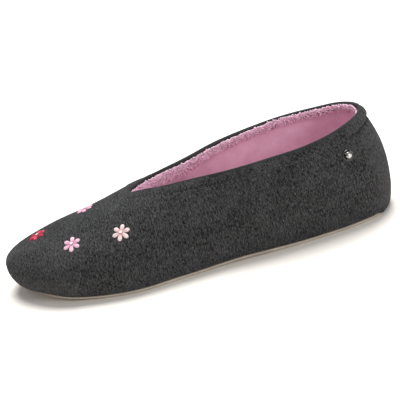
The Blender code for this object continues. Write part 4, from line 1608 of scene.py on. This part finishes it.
# %% Shape of a petal
FLOWER_DIAMETER = 11.2 * MM
PETALS = 6
PETAL_START = 0.45 * MM
PETAL_WIDEST = 0.68
PETAL_ROOT = 0.42
PETAL_HALF_WIDTH = 1.36 * MM
PETAL_HEIGHT = 1.05 * MM
PETAL_FULLNESS = 0.8
PETAL_THREADS = 6
PETAL_ALONG = 14
THREAD_LANES = 4
THREAD_RIDGE = 0.16
TOP_SUNK = 0.10 * MM
UNDER_SUNK = 0.25 * MM
ROOT_SHADE = 0.25
SEAT_REACH = 6 * MM


def seat(point, normal, height):
    """The point moved onto the knit's surface, then raised by this height."""
    hit, facing, _, _ = outer_tree.ray_cast(Vector(point + normal * SEAT_REACH), Vector(-normal))
    if hit is None:
        hit, facing, _, _ = outer_tree.find_nearest(Vector(point))
    return np.array(hit) + np.array(facing) * height


def petal_width(share):
    """Half width along a petal, as a share of its widest: narrow at the root, round at the tip."""
    if share < PETAL_WIDEST:
        swell = math.sin(math.pi / 2 * share / PETAL_WIDEST)
        return PETAL_ROOT + (1 - PETAL_ROOT) * swell
    return math.sqrt(max(0.0, 1 - ((share - PETAL_WIDEST) / (1 - PETAL_WIDEST)) ** 2))


def petal(spot, out, across, normal):
    """One satin petal: a grid over the dome, ridged by its threads, closed underneath."""
    points = []
    heights = []
    rows = []
    under = []
    shares = (1 - np.cos(np.linspace(0, math.pi, PETAL_ALONG + 1))) / 2
    lanes = np.linspace(-1, 1, PETAL_THREADS * THREAD_LANES + 1)
    length = FLOWER_DIAMETER / 2 - PETAL_START
    for share in shares:
        belly = petal_width(share)
        middle = spot + out * (PETAL_START + share * length)
        row = []
        for lane in lanes:
            thread = abs(math.sin(math.pi * PETAL_THREADS * (lane + 1) / 2))
            dome = math.sqrt(max(0.0, 1 - lane * lane)) * belly ** PETAL_FULLNESS
            height = PETAL_HEIGHT * dome * (1 - THREAD_RIDGE + THREAD_RIDGE * thread) - TOP_SUNK
            flat = middle + across * lane * PETAL_HALF_WIDTH * belly
            row.append(len(points))
            points.append(seat(flat, normal, height))
            # painted shade: the thread is painted darker towards the petal's root
            heights.append(ROOT_SHADE + (1 - ROOT_SHADE) * share)
        rows.append(row)
    for share in shares:
        middle = spot + out * (PETAL_START + share * length)
        under.append(len(points))
        points.append(seat(middle, normal, -UNDER_SUNK))
        heights.append(0.0)
    faces = []
    for near, far in zip(rows, rows[1:]):
        for j in range(len(lanes) - 1):
            faces.append((near[j], far[j], far[j + 1], near[j + 1]))
    for k in range(len(rows) - 1):
        faces.append((under[k], under[k + 1], rows[k + 1][0], rows[k][0]))
        faces.append((rows[k][-1], rows[k + 1][-1], under[k + 1], under[k]))
    for k, flip in ((0, 1), (len(rows) - 1, -1)):
        rim = rows[k]
        faces += [(rim[j], rim[j + 1], under[k])[::flip] for j in range(len(rim) - 1)]
    return points, faces, heights


print(f"petals {2 * PETAL_HALF_WIDTH / MM:.1f} mm wide at their widest")

# %% Embroider the flowers
KNOT_RADIUS = 0.74 * MM
KNOT_HEIGHT = 0.7
COIL_STEPS = 16
COIL_OUT = 0.75
COIL_THICK = 0.55
COIL_HEIGHT = 0.85
COIL_SLOPE = 0.12 * MM
DOME_FOOT = 0.35
# rows up the knot's dome: height and radius, as shares of the knot's radius
KNOT_DOME = [(0.0, 0.70), (0.6, 0.75), (1.1, 0.55), (1.35, 0.20)]
KNOT_PALE = (0.90, 0.82, 0.83)
KNOT_DEEP = (0.72, 0.56, 0.60)
# each yarn's root colour is painted shade where the petals crowd round the knot
Yarn = namedtuple("Yarn", "slot tip root sheen")
YARNS = [
    Yarn("pink_thread", (0.840, 0.540, 0.650), (0.480, 0.070, 0.220), 0.20),
    Yarn("pale_pink_thread", (0.780, 0.640, 0.620), (0.520, 0.230, 0.280), 0.20),
    Yarn("pale_pink_thread", (0.760, 0.430, 0.560), (0.480, 0.090, 0.220), 0.20),
    Yarn("red_thread", (0.520, 0.010, 0.050), (0.240, 0.003, 0.014), 0.00),
]
knot_finish = thread_finish("white_thread", KNOT_PALE, KNOT_DEEP)


def knot(spot, first, second, normal):
    """A French knot: one turn of thick thread round a small dome."""
    ring = []
    for angle in np.linspace(0, 2 * math.pi, COIL_STEPS + 1):
        high = PETAL_HEIGHT * COIL_HEIGHT + COIL_SLOPE * math.sin(angle)
        ring.append(spot + swing(first, second, angle) * KNOT_RADIUS * COIL_OUT + normal * high)
    coil = tube(ring, [KNOT_RADIUS * COIL_THICK] * len(ring), sides=8)
    foot = PETAL_HEIGHT * DOME_FOOT
    path = [spot + normal * (foot + KNOT_RADIUS * high) for high, _ in KNOT_DOME]
    dome = tube(path, [KNOT_RADIUS * wide for _, wide in KNOT_DOME], sides=12)
    return join_parts([coil, dome])


def make_flower(place, yarn):
    spot, first, second, normal = trim_frame(place)
    parts = []
    heights = []
    for k in range(PETALS):
        out = swing(first, second, 2 * math.pi * k / PETALS)
        points, faces, petal_heights = petal(spot, out, np.cross(normal, out), normal)
        parts.append((points, faces))
        heights += petal_heights
    points, faces = join_parts(parts)
    finish = thread_finish(place.name + "_yarn", yarn.tip, yarn.root, sheen=yarn.sheen)
    piece, used = make_piece(place.name + "_petals", points, faces, finish, yarn.slot, [place.name])
    give_values(piece, used, "height", heights)
    points, faces = knot(seat(spot, normal, 0.0), first, second, normal)
    piece, used = make_piece(place.name + "_knot", points, faces, knot_finish, "pale_pink_thread")
    give_values(piece, used, "height", [KNOT_HEIGHT] * len(points))


for place, yarn in zip(FLOWER_PLACES, YARNS):
    make_flower(place, yarn)

# %% [markdown]
# ## Heel stud
#
# A small metal ornament sits on the outer side of the heel: a ball held in a low cup by four
# claws. Polished metal shows only what it mirrors, so its shape has to be right: a turned cup
# with a rim, a round ball and claws that bend in over it. All are turned or swept about the
# normal of the wall at that place. A highlight and a reflection are painted on the ball: its
# colour is near black round its sides and bright on top, where it faces out, so it reads as
# a bright spot in a dark ring.

# %% Finishes of the stud
DARK_METAL = (0.150, 0.148, 0.142)
BALL_PAINTED_DARK_SIDE = (0.050, 0.050, 0.052)
BALL_PAINTED_HIGHLIGHT = (0.620, 0.610, 0.590)
PAINTED_HIGHLIGHT_TONES = (0.60, 1.0)
SCRATCH_SIZE = 1.2 * MM
BALL_GLOSS = (0.3, 0.7, 0.10, 0.26)

ball_metal = Finish("polished_metal", roughness=0.16, metallic=1.0)
# painted highlight and reflection: bright where the ball faces out, near black round its sides
painted_highlight = ball_metal.ramp(ball_metal.attribute("painted_highlight"), *PAINTED_HIGHLIGHT_TONES)
ball_metal.colour(ball_metal.blend(painted_highlight, BALL_PAINTED_DARK_SIDE, BALL_PAINTED_HIGHLIGHT))
gloss = ball_metal.ramp(ball_metal.grain(SCRATCH_SIZE, detail=3.0), *BALL_GLOSS)
ball_metal.feed(ball_metal.shader.inputs["Roughness"], gloss)
cup_metal = Finish("darkened_metal", roughness=0.35, metallic=1.0)
cup_metal.shader.inputs["Base Color"].default_value = (*DARK_METAL, 1)
print("finishes:", ball_metal.material.name, cup_metal.material.name)

# %% Build the stud
STUD_DIAMETER = 7.0 * MM
STUD_HEIGHT = 2.6 * MM
STUD_SIDES = 48
BALL_SHARE = 0.76
BALL_STEPS = 16
CLAWS = 4
CLAW_RADIUS = 0.34 * MM
# rows along a claw: shares of the stud's radius, of its height and of the claw's radius
Claw = namedtuple("Claw", "out high thick")
CLAW = [
    Claw(0.80, 0.10, 1.00),
    Claw(0.78, 0.34, 1.00),
    Claw(0.70, 0.52, 0.95),
    Claw(0.60, 0.66, 0.85),
    Claw(0.50, 0.74, 0.60),
]
# rows round half the cup: shares of the stud's radius and of its height
CUP_PROFILE = [
    (0.0, 0.02), (0.86, 0.02), (0.97, 0.05), (1.0, 0.12), (0.985, 0.22), (0.92, 0.27),
    (0.85, 0.22), (0.78, 0.14), (0.40, 0.10), (0.0, 0.10),
]


def turned(spot, first, second, normal, profile, radius, height):
    """A closed solid turned about the normal: rows of (share of radius, share of height)."""
    around = circle(first, second, STUD_SIDES)
    points = []
    rings = []
    for out, high in profile[1:-1]:
        ring = spot + around * out * radius + normal * high * height
        rings.append(add_ring(points, ring))
    faces = ring_faces(rings)
    for (_, high), ring, flip in ((profile[0], rings[0], -1), (profile[-1], rings[-1], 1)):
        tip = len(points)
        points.append(spot + normal * high * height)
        faces += [(ring[k], ring[(k + 1) % STUD_SIDES], tip)[::flip] for k in range(STUD_SIDES)]
    return points, faces


def make_stud():
    spot, first, second, normal = trim_frame(STUD_PLACE)
    base = spot + normal * GAP
    radius = STUD_DIAMETER / 2
    ball_radius = radius * BALL_SHARE
    ball = [(math.sin(a), math.cos(a)) for a in np.linspace(math.pi, 0, BALL_STEPS + 1)]
    middle = base + normal * (STUD_HEIGHT - ball_radius)
    points, faces = turned(middle, first, second, normal, ball, ball_radius, ball_radius)
    piece, used = make_piece("stud_ball", points, faces, ball_metal, "polished_metal", sharp=50)
    # painted highlight: the height along the wall's normal picks the ball's bright top
    give_values(piece, used, "painted_highlight", (np.array(points) - middle) @ normal / ball_radius)
    parts = [turned(base, first, second, normal, CUP_PROFILE, radius, STUD_HEIGHT)]
    for k in range(CLAWS):
        out = swing(first, second, 2 * math.pi * (k + 0.5) / CLAWS) * radius
        path = [base + out * row.out + normal * STUD_HEIGHT * row.high for row in CLAW]
        parts.append(tube(path, [CLAW_RADIUS * row.thick for row in CLAW], sides=10))
    points, faces = join_parts(parts)
    make_piece("stud_cup", points, faces, cup_metal, "polished_metal", ["heel_stud"], sharp=50)


make_stud()
